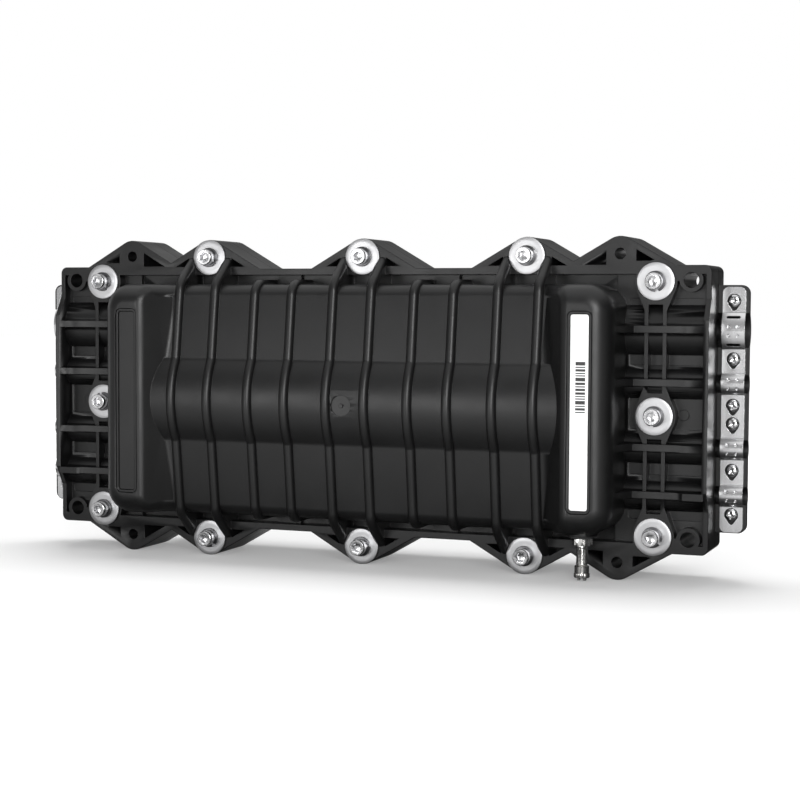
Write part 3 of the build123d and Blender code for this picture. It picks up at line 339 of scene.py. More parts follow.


# Each ring is painted shade: flat, near black and almost without reflection, in the corner of a step.
step_shade_rings = as_piece("label_step_shade_rings",
                   [ring_of_shade(side, *step) for side in (-1, 1) for step in FRAME_STEPS])
coat(step_shade_rings, painted_shade_black())
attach(step_shade_rings, "housing")

# The twelve cover screws: M6 socket heads, turned and zinc plated, with a knurled side and a hexagon socket.
# Each passes its washers and both flanges into a nut in the base.
AXIS_Z = (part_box("cover_shell")[0].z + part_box("cover_shell")[1].z) / 2
END_BOLT = (0.1822, 0.0741)
MIDDLE_BOLT_Y = -0.0039
LOBE_BOLT = (0.1048, 0.0893)
END_BOLT_ROWS = (END_BOLT[1], MIDDLE_BOLT_Y, -END_BOLT[1])
BOLT_PLACES = [(side * END_BOLT[0], y) for side in (-1, 1) for y in END_BOLT_ROWS]
BOLT_PLACES += [(x, side * LOBE_BOLT[1]) for x in (-LOBE_BOLT[0], 0.0, LOBE_BOLT[0]) for side in (-1, 1)]
HEAD_TOP = -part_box("cover_bolts")[0].y
BOLT_END = -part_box("cover_bolts")[1].y
HEAD_HEIGHT = 0.006
HEAD_R = 0.005
SHANK_R = 0.003
SOCKET_APOTHEM = 0.0025
SOCKET_DEPTH = 0.0032
KNURLS = 36
KNURL_POINTS = 6
KNURL_DEPTH = 0.000015
BOLT_SEED = 4
PLATING_DIM = 0.94
PLATING_ROUGH = (0.94, 1.08)


def hexagon(angle, apothem):
    """Radius of a hexagon at an angle: its apothem over the cosine of the angle from the nearest flat."""
    return apothem / np.cos((angle + pi / 6) % (pi / 3) - pi / 6)


def turned(stations, angle):
    """Surface of revolution from (radius, height) rows, whose radius may change with the angle."""
    radius = np.stack([np.broadcast_to(r, angle.shape) for r, _ in stations])
    height = np.array([h for _, h in stations])[:, None] + 0 * angle[None]
    return np.stack([radius * np.cos(angle), radius * np.sin(angle), height], -1)


def at_places(points, places, turns=None):
    """Copies of points (x, y, height) at places on the front, each with its turn, in the model's frame."""
    turns = np.zeros(len(places)) if turns is None else np.asarray(turns)
    c, s = np.cos(turns)[:, None], np.sin(turns)[:, None]
    flat = points.reshape(-1, 3)
    x = c * flat[:, 0] - s * flat[:, 1] + np.array([p[0] for p in places])[:, None]
    z = s * flat[:, 0] + c * flat[:, 1] + np.array([p[1] for p in places])[:, None] + AXIS_Z
    return np.stack([x, -np.broadcast_to(flat[:, 2], x.shape), z], -1)


def copies(grid, places, turns=None):
    """(points, faces) of a grid repeated at places."""
    rows, columns = grid.shape[:2]
    placed = at_places(grid, places, turns)
    faces = grid_faces(rows, columns)
    offsets = np.arange(len(places))[:, None, None] * rows * columns
    return placed.reshape(-1, 3), (faces[None] + offsets).reshape(-1, 4)


def socket_screw():
    """Profile of a socket screw from its end up the shank, round the knurled head and down the socket."""
    angle = full_turn(KNURLS * KNURL_POINTS)
    knurl = HEAD_R - KNURL_DEPTH * (0.5 + 0.5 * np.cos(KNURLS * angle))
    under = HEAD_TOP - HEAD_HEIGHT
    rim = hexagon(angle, SOCKET_APOTHEM)
    floor = HEAD_TOP - SOCKET_DEPTH
    return turned([(0.0, BOLT_END), (SHANK_R - 0.0006, BOLT_END), (SHANK_R, BOLT_END + 0.0006),
                   (SHANK_R, under), (HEAD_R - 0.0004, under), (HEAD_R - 0.0001, under + 0.0003),
                   (knurl, under + 0.0008), (knurl, HEAD_TOP - 0.0012), (HEAD_R - 0.0001, HEAD_TOP - 0.0008),
                   (HEAD_R - 0.0003, HEAD_TOP - 0.0002), (HEAD_R - 0.0006, HEAD_TOP),
                   (0.0033, HEAD_TOP), (rim + 0.00015, HEAD_TOP - 0.00005), (rim, HEAD_TOP - 0.0003),
                   (rim, floor), (rim * 0.97, floor - 0.0002), (0.0, floor - 0.0009)], angle)


def plated(name, colour, roughness, brush):
    """Bright plating over turned metal: blurred reflections that vary a little, with fine tool marks."""
    material, tree, shader = new_material(name, colour, roughness, 1.0)
    dim = tuple(PLATING_DIM * channel for channel in colour)
    tree.links.new(shades(tree, noise(tree, scale=120.0), dim, colour), shader.inputs["Base Color"])
    low, high = (roughness * share for share in PLATING_ROUGH)
    tree.links.new(spread(tree, noise(tree, scale=160.0), low, high), shader.inputs["Roughness"])
    bump(tree, shader, noise(tree, scale=2600.0, detail=2.0), distance=brush, strength=0.3)
    return material


def seeded_turns(count, seed):
    """A fixed set of turns, so that no two screws stand alike."""
    return np.random.default_rng(seed).uniform(0, 2 * pi, count)


ZINC = plated("zinc_plate", colour=(0.68, 0.68, 0.69), roughness=0.24, brush=0.000001)
bolt_turns = seeded_turns(len(BOLT_PLACES), BOLT_SEED)
bolts = as_piece("cover_screws", [copies(socket_screw(), BOLT_PLACES, bolt_turns)])
coat(bolts, ZINC)
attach(bolts, "housing")
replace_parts(bolts, "cover_bolts")

# Under each head lie a split spring washer and a large flat washer, both stamped from zinc plated steel.
# The spring washers are coloured darker than the rest: painted shade, for the shade that lies round the
# heads.
FLAT_TOP = -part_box("flat_washers")[0].y
FLAT_UNDER = -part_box("flat_washers")[1].y
FLAT_R = 0.011
FLAT_HOLE_R = 0.0032
FLAT_ROUND = 0.00025
FLAT_LINES = (0.0086, 0.0062)
FLAT_POINTS = 72
SPRING_TOP = -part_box("spring_washers")[0].y
SPRING_R = 0.0061
SPRING_HOLE_R = 0.00315
SPRING_SPLIT = 0.16
SPRING_LIFT = 0.0002
SPRING_SQUARE = 0.35
SPRING_SEED = 9
SPRING_ROWS = 60
SPRING_POINTS = 17


def washer_ring():
    """Flat ring with rounded edges: a closed rounded rectangle turned about the screw."""
    angle = full_turn(FLAT_POINTS)
    r, h = FLAT_ROUND, FLAT_UNDER
    return turned([(FLAT_HOLE_R, h), (FLAT_R - r, h), (FLAT_R - 0.3 * r, h + 0.3 * r), (FLAT_R, h + r),
                   (FLAT_R, FLAT_TOP - r), (FLAT_R - 0.3 * r, FLAT_TOP - 0.3 * r), (FLAT_R - r, FLAT_TOP),
                   (FLAT_LINES[0], FLAT_TOP), (FLAT_LINES[1], FLAT_TOP), (FLAT_HOLE_R + r, FLAT_TOP),
                   (FLAT_HOLE_R, FLAT_TOP - r), (FLAT_HOLE_R, h)], angle)


def superellipse(angle, power):
    """Cosine and sine of an angle, their sizes raised to a power below one, which squares the circle."""
    return [np.sign(part) * np.abs(part) ** power for part in (np.cos(angle), np.sin(angle))]


def split_ring():
    """Spring washer: a squared section carried round almost a full turn, one end a hair above the other.

    The first and last rows shrink to a point in the plane of their neighbours, which closes the ends."""
    turn = np.linspace(SPRING_SPLIT / 2, 2 * pi - SPRING_SPLIT / 2, SPRING_ROWS)
    corner = np.linspace(0, 2 * pi, SPRING_POINTS)
    half = np.array([(SPRING_R - SPRING_HOLE_R) / 2, (SPRING_TOP - FLAT_TOP) / 2])
    out, rise = superellipse(corner, SPRING_SQUARE)
    shrink = np.ones((len(turn), 1))
    shrink[[0, -1]] = 0.0
    radius = (SPRING_R + SPRING_HOLE_R) / 2 + half[0] * out * shrink
    height = (SPRING_TOP + FLAT_TOP) / 2 + (half[1] - SPRING_LIFT / 2) * rise * shrink
    height = height + SPRING_LIFT * (turn[:, None] / (2 * pi) - 0.5)
    place = np.clip(turn, turn[1], turn[-2])[:, None]
    return np.stack([radius * np.cos(place), radius * np.sin(place), height], -1)


flat_washers = as_piece("large_washers", [copies(washer_ring(), BOLT_PLACES)])
coat(flat_washers, plated("zinc_washer", colour=(0.63, 0.63, 0.64), roughness=0.40, brush=0.000002))
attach(flat_washers, "housing")
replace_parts(flat_washers, "flat_washers")
spring_turns = seeded_turns(len(BOLT_PLACES), SPRING_SEED)
springs = as_piece("split_washers", [copies(split_ring(), BOLT_PLACES, spring_turns)])
# The spring washers' dark colour is painted shade round the heads.
coat(springs, plated("spring_painted_shade", colour=(0.13, 0.13, 0.135), roughness=0.3, brush=0.000002))
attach(springs, "housing")
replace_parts(springs, "spring_washers")

# The nuts sit in the base's hexagonal pockets and hold the cover screws. They are zinc plated, with corners
# chamfered on both faces.
NUT_UNDER = -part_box("bolt_nuts")[1].y
NUT_TOP = -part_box("bolt_nuts")[0].y
NUT_APOTHEM = 0.005
NUT_CHAMFER = 0.0007
NUT_CONES = (1.005, 1.07)
NUT_SMOOTH = radians(24)
NUT_POINTS = 60


def nut_body():
    """Hexagon nut: hexagonal radii held inside a cone at both faces, and a bore."""
    angle = full_turn(NUT_POINTS)
    flats = hexagon(angle, NUT_APOTHEM)
    inner, outer = (np.minimum(flats, NUT_APOTHEM * share) for share in NUT_CONES)
    low, high = NUT_UNDER + NUT_CHAMFER, NUT_TOP - NUT_CHAMFER
    return turned([(SHANK_R, NUT_UNDER), (inner, NUT_UNDER), (outer, NUT_UNDER + NUT_CHAMFER / 2),
                   (flats, low), (flats, high), (outer, NUT_TOP - NUT_CHAMFER / 2), (inner, NUT_TOP),
                   (SHANK_R, NUT_TOP), (SHANK_R, NUT_UNDER)], angle)


nuts = as_piece("captive_nuts", [copies(nut_body(), BOLT_PLACES)], NUT_SMOOTH)
coat(nuts, ZINC)
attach(nuts, "housing")
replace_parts(nuts, "bolt_nuts")

# The two clamp strips: stainless sheet, punched, bent into saddles over the cable gutters and brushed along
# their length. A keyhole is sunk round each screw, its floor as black as the ledge's plastic.
STRIP_EDGE = 0.00025
STRIP_MID = 0.2238
KEYHOLE_HALF = 0.0042
KEYHOLE_DEPTH = 0.0011
KEYHOLE_BLACK = (0.006, 0.006, 0.006)


def maths(tree, operation, first, second=0.0):
    """Result of a plain sum between a socket and a number or a second socket."""
    step = tree.nodes.new("ShaderNodeMath")
    step.operation = operation
    tree.links.new(first, step.inputs[0])
    if isinstance(second, float):
        step.inputs[1].default_value = second
    else:
        tree.links.new(second, step.inputs[1])
    return step.outputs["Value"]


def keyhole_floor(tree):
    """1 near the strip's middle line and well under the sheet's face, where the keyholes are, else 0."""
    place = tree.nodes.new("ShaderNodeTexCoord")
    split = tree.nodes.new("ShaderNodeSeparateXYZ")
    tree.links.new(place.outputs["Object"], split.inputs["Vector"])
    off = maths(tree, "SUBTRACT", maths(tree, "ABSOLUTE", split.outputs["X"]), STRIP_MID)
    near = maths(tree, "LESS_THAN", maths(tree, "ABSOLUTE", off), KEYHOLE_HALF)
    return maths(tree, "MULTIPLY", near, maths(tree, "GREATER_THAN", split.outputs["Y"], -KEYHOLE_DEPTH))


def brushed_stainless():
    """Stainless sheet with a fine brushed grain along the strip, black in the floors of its keyholes."""
    material, tree, shader = new_material("brushed_sheet", (0.76, 0.76, 0.77), 0.24, 1.0)
    grain = noise(tree, scale=900.0, detail=4.0, stretch=(1.0, 0.05, 0.05))
    floor = keyhole_floor(tree)
    metal = shades(tree, grain, dark=(0.74, 0.74, 0.75), light=(0.80, 0.80, 0.81))
    tree.links.new(blend(tree, floor, metal, KEYHOLE_BLACK), shader.inputs["Base Color"])
    tree.links.new(maths(tree, "LESS_THAN", floor, 0.5), shader.inputs["Metallic"])
    patches = noise(tree, scale=50.0, detail=2.0)
    tree.links.new(spread(tree, patches, low=0.22, high=0.25), shader.inputs["Roughness"])
    bump(tree, shader, grain, distance=0.000003, strength=0.3, edge=STRIP_EDGE)
    return material


STAINLESS = brushed_stainless()
for end in ("left", "right"):
    strip = smooth_copy("clamp_strip_" + end, "saddle_strip_" + end)
    coat(strip, STAINLESS)

# Each saddle is dimpled at four places so that it bites into the cable: a ring pressed in round a low tooth.
# A saddle is its place along the strip, its half chord and its rise.
SADDLES = ((0.0456, 0.0101, 0.0035), (0.0148, 0.0053, 0.0029), (-0.0230, 0.0053, 0.0029),
           (-0.0504, 0.0053, 0.0029))
SHEET = 0.0015
DIMPLE_R = 0.00094
DIMPLE_X = 0.0026
DIMPLE_Y = 0.0025
DIMPLE_UNDER = 0.0011
DIMPLE_POINTS = 24
DIMPLE_ROWS = ((0.0, DIMPLE_UNDER), (1.0, DIMPLE_UNDER), (1.0, 0.0002), (0.85, 0.0007), (0.6, 0.00075),
               (0.4, 0.0004), (0.2, 0.00028), (0.0, 0.00025))


def dimple(half_chord, rise, off):
    """Turned tooth whose depth is taken from the saddle's round skin.

    The skin is rise - radius + sqrt((radius + sheet)^2 - y^2) high, y counted from the saddle's middle."""
    radius = (half_chord ** 2 + rise ** 2) / (2 * rise)
    angle = full_turn(DIMPLE_POINTS)
    share, depth = np.array(DIMPLE_ROWS).T[:, :, None]
    x, y = DIMPLE_R * share * np.cos(angle), DIMPLE_R * share * np.sin(angle)
    skin = rise - radius + np.sqrt((radius + SHEET) ** 2 - (off + y) ** 2)
    return np.stack([x, y, skin - depth], -1)


columns_x = [side * STRIP_MID + step for side in (-1, 1) for step in (-DIMPLE_X, DIMPLE_X)]
dimples = as_piece("saddle_dimples", [copies(dimple(half_chord, rise, off), [(x, y + off) for x in columns_x])
                                      for y, half_chord, rise in SADDLES for off in (-DIMPLE_Y, DIMPLE_Y)])
coat(dimples, STAINLESS)
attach(dimples, "housing")

# Six pan head screws hold each strip, their heads domed, polished and struck with a cross recess. No two of
# a strip's screws stand at the same turn.
SCREW_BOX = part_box("strip_screws_right")
SCREW_X = (SCREW_BOX[0].x + SCREW_BOX[1].x) / 2
SCREW_TOP = -SCREW_BOX[0].y
SCREW_END = -SCREW_BOX[1].y
SCREW_HEAD = 0.0024
SCREW_HEAD_R = 0.0036
SCREW_SHANK_R = 0.0019
SCREW_Y = (0.0631, 0.0293, 0.0023, -0.0084, -0.0356, -0.0615)
CROSS_HALF = (0.0021, 0.00045)
CROSS_DEPTH = 0.0013
CROSS_EDGE = (1.15, 0.3)
SCREW_RIM = 0.0009
DOME_SHARE = 0.97
DOME_POWER = 2.6
STRIP_SCREW_SEED = 20
SCREW_SMOOTH = radians(40)
SCREW_POINTS = 96
DOME_ROWS = 26
DOME_START = 0.98


def pan_head():
    """Screw from its end to the domed head, where the height drops inside a cross of two rounded bars.

    Over the share s of the head's radius the dome is sqrt(1 - (0.97 s)^2.6) of its full height."""
    angle = full_turn(SCREW_POINTS)
    seat = SCREW_TOP - SCREW_HEAD
    side = turned([(0.0, SCREW_END), (SCREW_SHANK_R, SCREW_END + 0.001), (SCREW_SHANK_R, seat),
                   (SCREW_HEAD_R - 0.0001, seat), (SCREW_HEAD_R, seat + 0.0003),
                   (SCREW_HEAD_R, seat + SCREW_RIM)], angle)
    share = np.linspace(DOME_START, 0.0, DOME_ROWS)[:, None]
    radius = SCREW_HEAD_R * share
    x, y = radius * np.cos(angle), radius * np.sin(angle)
    dome = seat + SCREW_RIM + (SCREW_HEAD - SCREW_RIM) * np.sqrt(1 - (DOME_SHARE * share) ** DOME_POWER)
    long_half, wide_half = CROSS_HALF
    reach = np.minimum(np.maximum(np.abs(x) / long_half, np.abs(y) / wide_half),
                       np.maximum(np.abs(y) / long_half, np.abs(x) / wide_half))
    inside = np.clip((CROSS_EDGE[0] - reach) / CROSS_EDGE[1], 0, 1)
    sink = CROSS_DEPTH * inside * (1 - 0.5 * radius / long_half)
    return np.concatenate([side, np.stack([x, y, dome - sink], -1)])


POLISHED = plated("polished_screw", colour=(0.72, 0.72, 0.73), roughness=0.12, brush=0.000001)
for end, side in (("left", -1), ("right", 1)):
    places = [(side * SCREW_X, y) for y in SCREW_Y]
    turns = seeded_turns(len(places), STRIP_SCREW_SEED + side)
    screws = as_piece("saddle_screws_" + end, [copies(pan_head(), places, turns)], SCREW_SMOOTH)
    coat(screws, POLISHED)
    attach(screws, "housing")
    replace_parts(screws, "strip_screws_" + end)

# The air valve in the lower wall of the right block: turned brass, nickel plated, with a hexagon and a
# threaded stem. It goes through the wall from outside on a rubber ring, and a locknut holds it inside.
VALVE_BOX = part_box("valve_body")
VALVE_X = (VALVE_BOX[0].x + VALVE_BOX[1].x) / 2
VALVE_Y = (VALVE_BOX[0].y + VALVE_BOX[1].y) / 2
VALVE_INSIDE_Z = VALVE_BOX[1].z
VALVE_NECK_Z = VALVE_BOX[0].z
HEX_Z = (AXIS_Z - 0.0751, AXIS_Z - 0.0794)
STEM_END_Z = AXIS_Z - 0.0914
VALVE_HEX = 0.0054
VALVE_THREAD_R = 0.004
STEM_R = 0.0034
NECK_R = 0.0026
VALVE_BORE_R = 0.0015
THREAD_PITCH = 0.0008
THREAD_DEPTH = 0.00025
THREAD_STEPS = 6
VALVE_CONE = 1.01
VALVE_SMOOTH = radians(38)
VALVE_POINTS = 72


def hung(points):
    """Move a piece drawn about its own upright axis onto the valve's axis, its heights kept."""
    return points + np.array([VALVE_X, VALVE_Y, 0.0])


def threaded(radius, start, end, angle):
    """Helical thread: the radius dips by a triangle wave of height over pitch plus the turn."""
    height = np.linspace(start, end, int(abs(end - start) / THREAD_PITCH * THREAD_STEPS) + 2)
    wave = np.abs(((height[:, None] / THREAD_PITCH + angle[None] / (2 * pi)) % 1.0) * 2 - 1)
    fade = np.clip(np.minimum(np.abs(height - start), np.abs(height - end)) / THREAD_PITCH, 0, 1)[:, None]
    r = radius - THREAD_DEPTH * wave * fade
    return np.stack([r * np.cos(angle), r * np.sin(angle), height[:, None] + 0 * angle], -1)


def valve_surface():
    """Body outside from the inner end, past the hexagon and stem, and back up through the bore."""
    angle = full_turn(VALVE_POINTS)
    flats = hexagon(angle + pi / 6, VALVE_HEX)
    cone = np.minimum(flats, VALVE_HEX * VALVE_CONE)
    top, low = HEX_Z
    rows = [turned([(VALVE_BORE_R, VALVE_INSIDE_Z), (VALVE_THREAD_R - 0.0004, VALVE_INSIDE_Z)], angle),
            threaded(VALVE_THREAD_R, VALVE_INSIDE_Z - 0.0004, top + 0.0006, angle),
            turned([(VALVE_THREAD_R, top), (cone, top), (flats, top - 0.0005), (flats, low + 0.0005),
                    (cone, low), (STEM_R, low), (STEM_R - 0.0003, low - 0.0003),
                    (STEM_R - 0.0003, low - 0.0010)], angle),
            threaded(STEM_R, low - 0.0014, STEM_END_Z + 0.0010, angle),
            turned([(STEM_R - 0.0002, STEM_END_Z + 0.0006), (STEM_R - 0.0004, STEM_END_Z),
                    (NECK_R, STEM_END_Z), (NECK_R, VALVE_NECK_Z + 0.0004), (NECK_R - 0.0004, VALVE_NECK_Z),
                    (VALVE_BORE_R, VALVE_NECK_Z), (VALVE_BORE_R, VALVE_INSIDE_Z)], angle)]
    points = hung(np.concatenate(rows))
    return points.reshape(-1, 3), grid_faces(len(points), len(angle))


NICKEL = plated("nickel_plate", colour=(0.78, 0.77, 0.75), roughness=0.24, brush=0.000001)
valve = as_piece("air_valve", [valve_surface()], VALVE_SMOOTH)
coat(valve, NICKEL)
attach(valve, "housing")
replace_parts(valve, "valve_body")
for node in ("valve_locknut", "valve_pin"):
    part = smooth_copy(node, node + "_plated")
    coat(part, NICKEL)

# The valve's cap: nickel plated and knurled round its rim for fingers. The two prongs on its closed end fit
# the valve's core as a key.
CAP_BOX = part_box("valve_cap")
CAP_TOP_Z = CAP_BOX[1].z
CAP_R = 0.00425
CAP_RIM_R = 0.00465
CAP_BODY = 0.0043
CAP_RIM = 0.0026
CAP_INNER_R = 0.00265
CAP_ROOM = 0.00585
CAP_KNURLS = 26
CAP_KNURL_DEPTH = 0.0002
CAP_END_R = 0.0015
PRONG_HALF = 0.0008
PRONG_STRETCH = 1.9
PRONG_SQUARE = 0.4
PRONG_X = 0.0018
PRONG_POINTS = 32


def cap_surface():
    """Cap from its bore round the smooth body and the knurled rim to its closed end."""
    angle = full_turn(CAP_KNURLS * KNURL_POINTS)
    knurl = CAP_RIM_R - CAP_KNURL_DEPTH * (0.5 + 0.5 * np.cos(CAP_KNURLS * angle))
    z, rim = CAP_TOP_Z, CAP_TOP_Z - CAP_BODY
    end = rim - CAP_RIM
    points = turned([(0.0, z - CAP_ROOM), (CAP_INNER_R, z - CAP_ROOM), (CAP_INNER_R, z), (CAP_R - 0.0003, z),
                     (CAP_R, z - 0.0003), (CAP_R, rim + 0.0006), (CAP_R - 0.0002, rim + 0.0003),
                     (CAP_R - 0.0002, rim + 0.0001), (CAP_RIM_R - 0.0003, rim), (knurl, rim - 0.0003),
                     (knurl, end + 0.0004), (CAP_RIM_R - 0.0004, end), (CAP_END_R, end), (0.0, end)], angle)
    return hung(points).reshape(-1, 3), grid_faces(len(points), len(angle))


def prong(side):
    """Rounded block under the cap: a superellipse drawn down to the part's lowest level."""
    x, y = (PRONG_HALF * part for part in superellipse(full_turn(PRONG_POINTS), PRONG_SQUARE))
    share = np.array([0.0, 1.0, 1.0, 0.85, 0.0])[:, None]
    end = CAP_TOP_Z - CAP_BODY - CAP_RIM
    z = np.array([end + 0.0002, end + 0.0002, CAP_BOX[0].z + 0.0003, CAP_BOX[0].z, CAP_BOX[0].z])[:, None]
    points = hung(np.stack([x * share + side * PRONG_X, PRONG_STRETCH * y * share, z + 0 * x], -1))
    return points.reshape(-1, 3), grid_faces(*points.shape[:2])


cap = as_piece("finger_cap", [cap_surface(), prong(-1), prong(1)])
coat(cap, NICKEL)
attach(cap, "valve_cap")
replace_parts(cap, "valve_cap")

# Rubber: the valve's ring, the two sealing strips in their grooves and the ribbed plugs in the empty ports.
# All of it is black and matt. The trays' combs have the same rubber.
RUBBER_NODES = {"valve_seal": "seal_rubber", "gasket_top": "seal_rubber", "gasket_bottom": "seal_rubber",
                "port_plugs_left": "plug_rubber", "port_plugs_right": "plug_rubber"}


def black_rubber():
    """Matt black rubber with a dusty, uneven skin."""
    material, tree, shader = new_material("black_rubber", (0.022, 0.022, 0.023), 0.7)
    dust = noise(tree, scale=120.0, detail=5.0)
    tree.links.new(shades(tree, dust, dark=(0.018, 0.018, 0.019), light=(0.034, 0.034, 0.034)),
                   shader.inputs["Base Color"])
    tree.links.new(spread(tree, noise(tree, scale=200.0), low=0.62, high=0.8), shader.inputs["Roughness"])
    bump(tree, shader, noise(tree, scale=1500.0), distance=0.00004, strength=0.5)
    return material


RUBBER = black_rubber()
for node, slot in RUBBER_NODES.items():
    part = smooth_copy(node, node + "_moulded")
    coat(part, RUBBER)

# Inside: a galvanised carrier plate and hinge bracket, and the grips for the cables' strength members. Their
# screws are zinc plated like those of the cover.


def galvanised():
    """Hot-dip sheet with soft spangle."""
    material, tree, shader = new_material("galvanised_sheet", (0.56, 0.57, 0.58), 0.42, 1.0)
    spangle = noise(tree, scale=180.0, detail=2.0)
    tree.links.new(shades(tree, spangle, dark=(0.48, 0.49, 0.50), light=(0.62, 0.63, 0.64)),
                   shader.inputs["Base Color"])
    patches = noise(tree, scale=150.0, detail=2.0)
    tree.links.new(spread(tree, patches, low=0.34, high=0.52), shader.inputs["Roughness"])
    bump(tree, shader, noise(tree, scale=1400.0), distance=0.000015, strength=0.4, edge=STRIP_EDGE)
    return material


GALVANISED = galvanised()
for node in ("frame_plate", "tray_bracket", "strength_clamps_left", "strength_clamps_right"):
    part = smooth_copy(node, node + "_sheet")
    coat(part, GALVANISED)
for node in ("frame_screws", "bracket_screws", "strength_screws_left", "strength_screws_right"):
    part = smooth_copy(node, node + "_plated")
    coat(part, ZINC)

# The splice trays: light grey pans with fibre drums, dark combs for the splice sleeves and a clear lid on the
# upper one. Each tray rides on its own body, with its comb.
TRAY_EDGE = 0.0003
LID_IOR = 1.58


def moulded_grey():
    """Light grey tray plastic with a faint grain."""
    material, tree, shader = new_material("tray_grey", (0.55, 0.57, 0.58), 0.45)
    tree.links.new(shades(tree, noise(tree, scale=50.0), dark=(0.52, 0.54, 0.55), light=(0.58, 0.60, 0.61)),
                   shader.inputs["Base Color"])
    bump(tree, shader, noise(tree, scale=2200.0), distance=0.00002, strength=0.4, edge=TRAY_EDGE)
    return material


def clear_lid():
    """Clear polycarbonate with a light haze."""
    material, tree, shader = new_material("lid_clear", (0.92, 0.94, 0.95), 0.08)
    shader.inputs["Transmission Weight"].default_value = 1.0
    shader.inputs["IOR"].default_value = LID_IOR
    tree.links.new(spread(tree, noise(tree, scale=40.0), low=0.05, high=0.14), shader.inputs["Roughness"])
    return material


TRAY_GREY = moulded_grey()
for level in ("lower", "middle", "upper"):
    for node, material, slot in (("tray_" + level, TRAY_GREY, "tray_plastic"),
                                 ("splice_holder_" + level, RUBBER, "holder_plastic")):
        part = smooth_copy(node, node + "_moulded")
        coat(part, material)
lid = smooth_copy("tray_lid", "tray_lid_clear")
coat(lid, clear_lid())

# The stage: a white sweep behind the closure and a dim room before it, as in a studio. The floor shows white
# to the camera but keeps the closure's shadow, and two soft panels beside the camera draw its rounds.
FLOOR_HALF = 6.0
FLOOR_WHITE = 0.8
FLOOR_SEEN = 0.6
FLOOR_GLOW = (0.25, 0.85)
FRONT_GLOW = 0.6
FRONT_Y = (0.08, 0.25)
FLOOR_SPREAD = (0.12, 0.42)
FLOOR_STRETCH = (0.35, 1.0, 1.0)
SWEEP_Y = (-0.08, 0.12)
RIGHT_WAY = (-0.9, 0.44, 0.0)
RIGHT_SPAN = (-0.1, 0.2)
SWEEP_WAY = (-0.8, 0.6, 0.0)
SWEEP_EDGE = (0.72, 1.0)
WORLD_GLOW = 0.4
ROOM_GLOW = 0.2
SIDE_GLOW = 0.03
ROOM_X = (-0.1, 0.4)
ROOM_Z = (0.45, 0.85)
MIRROR_FRONT = 0.08
MIRROR_RIGHT = 0.02


def ramp(tree, value, span, low, high):
    """Smooth rise from one value to another over a span; the ends may be numbers or sockets."""
    rise = tree.nodes.new("ShaderNodeMapRange")
    rise.interpolation_type = "SMOOTHSTEP"
    rise.inputs["From Min"].default_value, rise.inputs["From Max"].default_value = span
    for name, end in (("To Min", low), ("To Max", high)):
        if isinstance(end, (int, float)):
            rise.inputs[name].default_value = end
        else:
            tree.links.new(end, rise.inputs[name])
    tree.links.new(value, rise.inputs["Value"])
    return rise.outputs["Result"]


def vector_math(tree, operation, value, other=None):
    """Result of a vector operation between a socket and a constant."""
    step = tree.nodes.new("ShaderNodeVectorMath")
    step.operation = operation
    tree.links.new(value, step.inputs[0])
    if other is not None:
        step.inputs[1].default_value = other
    return step.outputs["Value" if operation in ("LENGTH", "DOT_PRODUCT") else "Vector"]


def by_ray(tree, camera, mirror, other):
    """A strength for camera rays, one for glossy and transmission rays and one for the rest."""
    rays = tree.nodes.new("ShaderNodeLightPath")
    bounced = maths(tree, "MAXIMUM", rays.outputs["Is Glossy Ray"], rays.outputs["Is Transmission Ray"])
    mirrored = ramp(tree, bounced, (0, 1), other, mirror)
    return ramp(tree, rays.outputs["Is Camera Ray"], (0, 1), mirrored, camera)


def floor_material():
    """Diffuse floor whose glow grows outwards to white. Mirrors show it white behind and dim before."""
    material = bpy.data.materials.new("floor_pale")
    material.use_nodes = True
    tree = material.node_tree
    tree.nodes.clear()
    place = tree.nodes.new("ShaderNodeTexCoord").outputs["Object"]
    reach = vector_math(tree, "LENGTH", vector_math(tree, "MULTIPLY", place, FLOOR_STRETCH))
    depth = vector_math(tree, "DOT_PRODUCT", place, (0, 1, 0))
    diffuse = tree.nodes.new("ShaderNodeBsdfDiffuse")
    side = vector_math(tree, "DOT_PRODUCT", place, RIGHT_WAY)
    seen = ramp(tree, depth, SWEEP_Y, MIRROR_FRONT, ramp(tree, side, RIGHT_SPAN, MIRROR_RIGHT, FLOOR_WHITE))
    tree.links.new(by_ray(tree, FLOOR_SEEN, seen, FLOOR_WHITE), diffuse.inputs["Color"])
    glow = tree.nodes.new("ShaderNodeEmission")
    before = ramp(tree, vector_math(tree, "DOT_PRODUCT", place, (0, -1, 0)), FRONT_Y, 0.0, FRONT_GLOW)
    mirrored = ramp(tree, depth, SWEEP_Y, before, ramp(tree, side, RIGHT_SPAN, 0.0, FLOOR_GLOW[0]))
    tree.links.new(by_ray(tree, ramp(tree, reach, FLOOR_SPREAD, *FLOOR_GLOW), mirrored, 0.0),
                   glow.inputs["Strength"])
    total = tree.nodes.new("ShaderNodeAddShader")
    out = tree.nodes.new("ShaderNodeOutputMaterial")
    tree.links.new(diffuse.outputs["BSDF"], total.inputs[0])
    tree.links.new(glow.outputs["Emission"], total.inputs[1])
    tree.links.new(total.outputs["Shader"], out.inputs["Surface"])
    return material


floor_mesh = bpy.data.meshes.new("floor")
floor_corners = [(x * FLOOR_HALF, y * FLOOR_HALF, 0) for x, y in ((-1, -1), (1, -1), (1, 1), (-1, 1))]
floor_mesh.from_pydata(floor_corners, [], [(0, 1, 2, 3)])
floor = bpy.data.objects.new("floor", floor_mesh)
coat(floor, floor_material())
bpy.context.scene.collection.objects.link(floor)

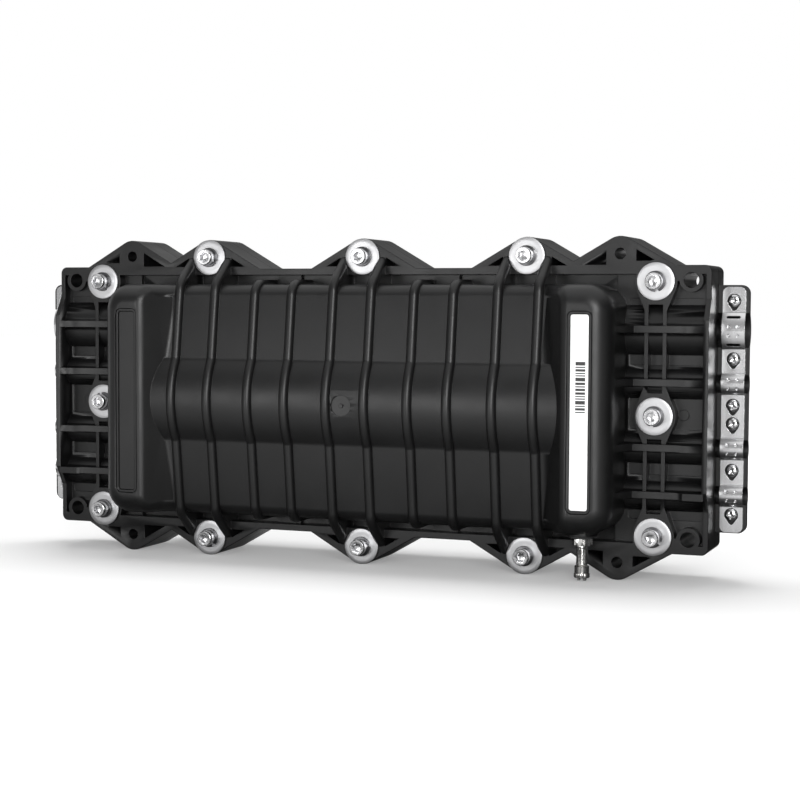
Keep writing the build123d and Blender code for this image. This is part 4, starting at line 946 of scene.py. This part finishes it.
world = bpy.data.worlds.new("studio")
world.use_nodes = True
bpy.context.scene.world = world
backdrop = world.node_tree.nodes["Background"]
backdrop.inputs["Color"].default_value = (1.0, 1.0, 1.0, 1.0)
studio = world.node_tree
way = studio.nodes.new("ShaderNodeTexCoord").outputs["Generated"]
room = ramp(studio, vector_math(studio, "DOT_PRODUCT", way, (1, 0, 0)), ROOM_X, ROOM_GLOW, SIDE_GLOW)
room = ramp(studio, vector_math(studio, "DOT_PRODUCT", way, (0, 0, 1)), ROOM_Z, room, 1.0)
sweep = ramp(studio, vector_math(studio, "DOT_PRODUCT", way, SWEEP_WAY), SWEEP_EDGE, room, 1.0)
studio.links.new(by_ray(studio, 1.0, sweep, WORLD_GLOW), backdrop.inputs["Strength"])


def softbox(name, place, aim, size, power, mirrored=True):
    """Rectangular lamp at a place, facing an aim point, that mirrors may or may not show."""
    lamp = bpy.data.lights.new(name, "AREA")
    lamp.shape = "RECTANGLE"
    lamp.size, lamp.size_y = size
    lamp.energy = power
    holder = bpy.data.objects.new(name, lamp)
    holder.location = place
    holder.rotation_euler = (Vector(aim) - Vector(place)).to_track_quat("-Z", "Y").to_euler()
    holder.visible_camera = False
    holder.visible_glossy = mirrored
    bpy.context.scene.collection.objects.link(holder)


softbox("panel_left", place=(-0.34, -1.0, 0.1), aim=(0.02, -0.05, 0.1), size=(0.46, 0.34), power=2.2)
softbox("panel_right", place=(0.62, -1.3, 0.4), aim=(0.0, 0.0, 0.1), size=(0.5, 0.8), power=12.0)
softbox("top_light", place=(-0.1, 0.3, 1.5), aim=(0.0, 0.0, 0.1), size=(1.0, 0.8), power=22.0, mirrored=False)

# The camera stands where the photograph was taken from: a metre off, to the right and a little above the
# closure's middle. Its focal length is counted in pixels of the square picture.
CAMERA_PLACE = Vector((0.3946, -0.9951, 0.1595))
CAMERA_RIGHT = Vector((0.9347, 0.3554, 0.0049))
CAMERA_UP = Vector((-0.0240, 0.0495, 0.9985))
FOCAL_PIXELS = 1707.0
FRAME_PIXELS = 800
SENSOR = 36.0
camera_data = bpy.data.cameras.new("camera")
camera_data.sensor_width = SENSOR
camera_data.lens = FOCAL_PIXELS * SENSOR / FRAME_PIXELS
camera = bpy.data.objects.new("camera", camera_data)
right = CAMERA_RIGHT.normalized()
back = right.cross(CAMERA_UP).normalized()
up = back.cross(right)
camera.matrix_world = Matrix((right, up, back)).transposed().to_4x4()
camera.location = CAMERA_PLACE
bpy.context.scene.collection.objects.link(camera)
bpy.context.scene.camera = camera
bpy.context.scene.view_settings.view_transform = "Standard"
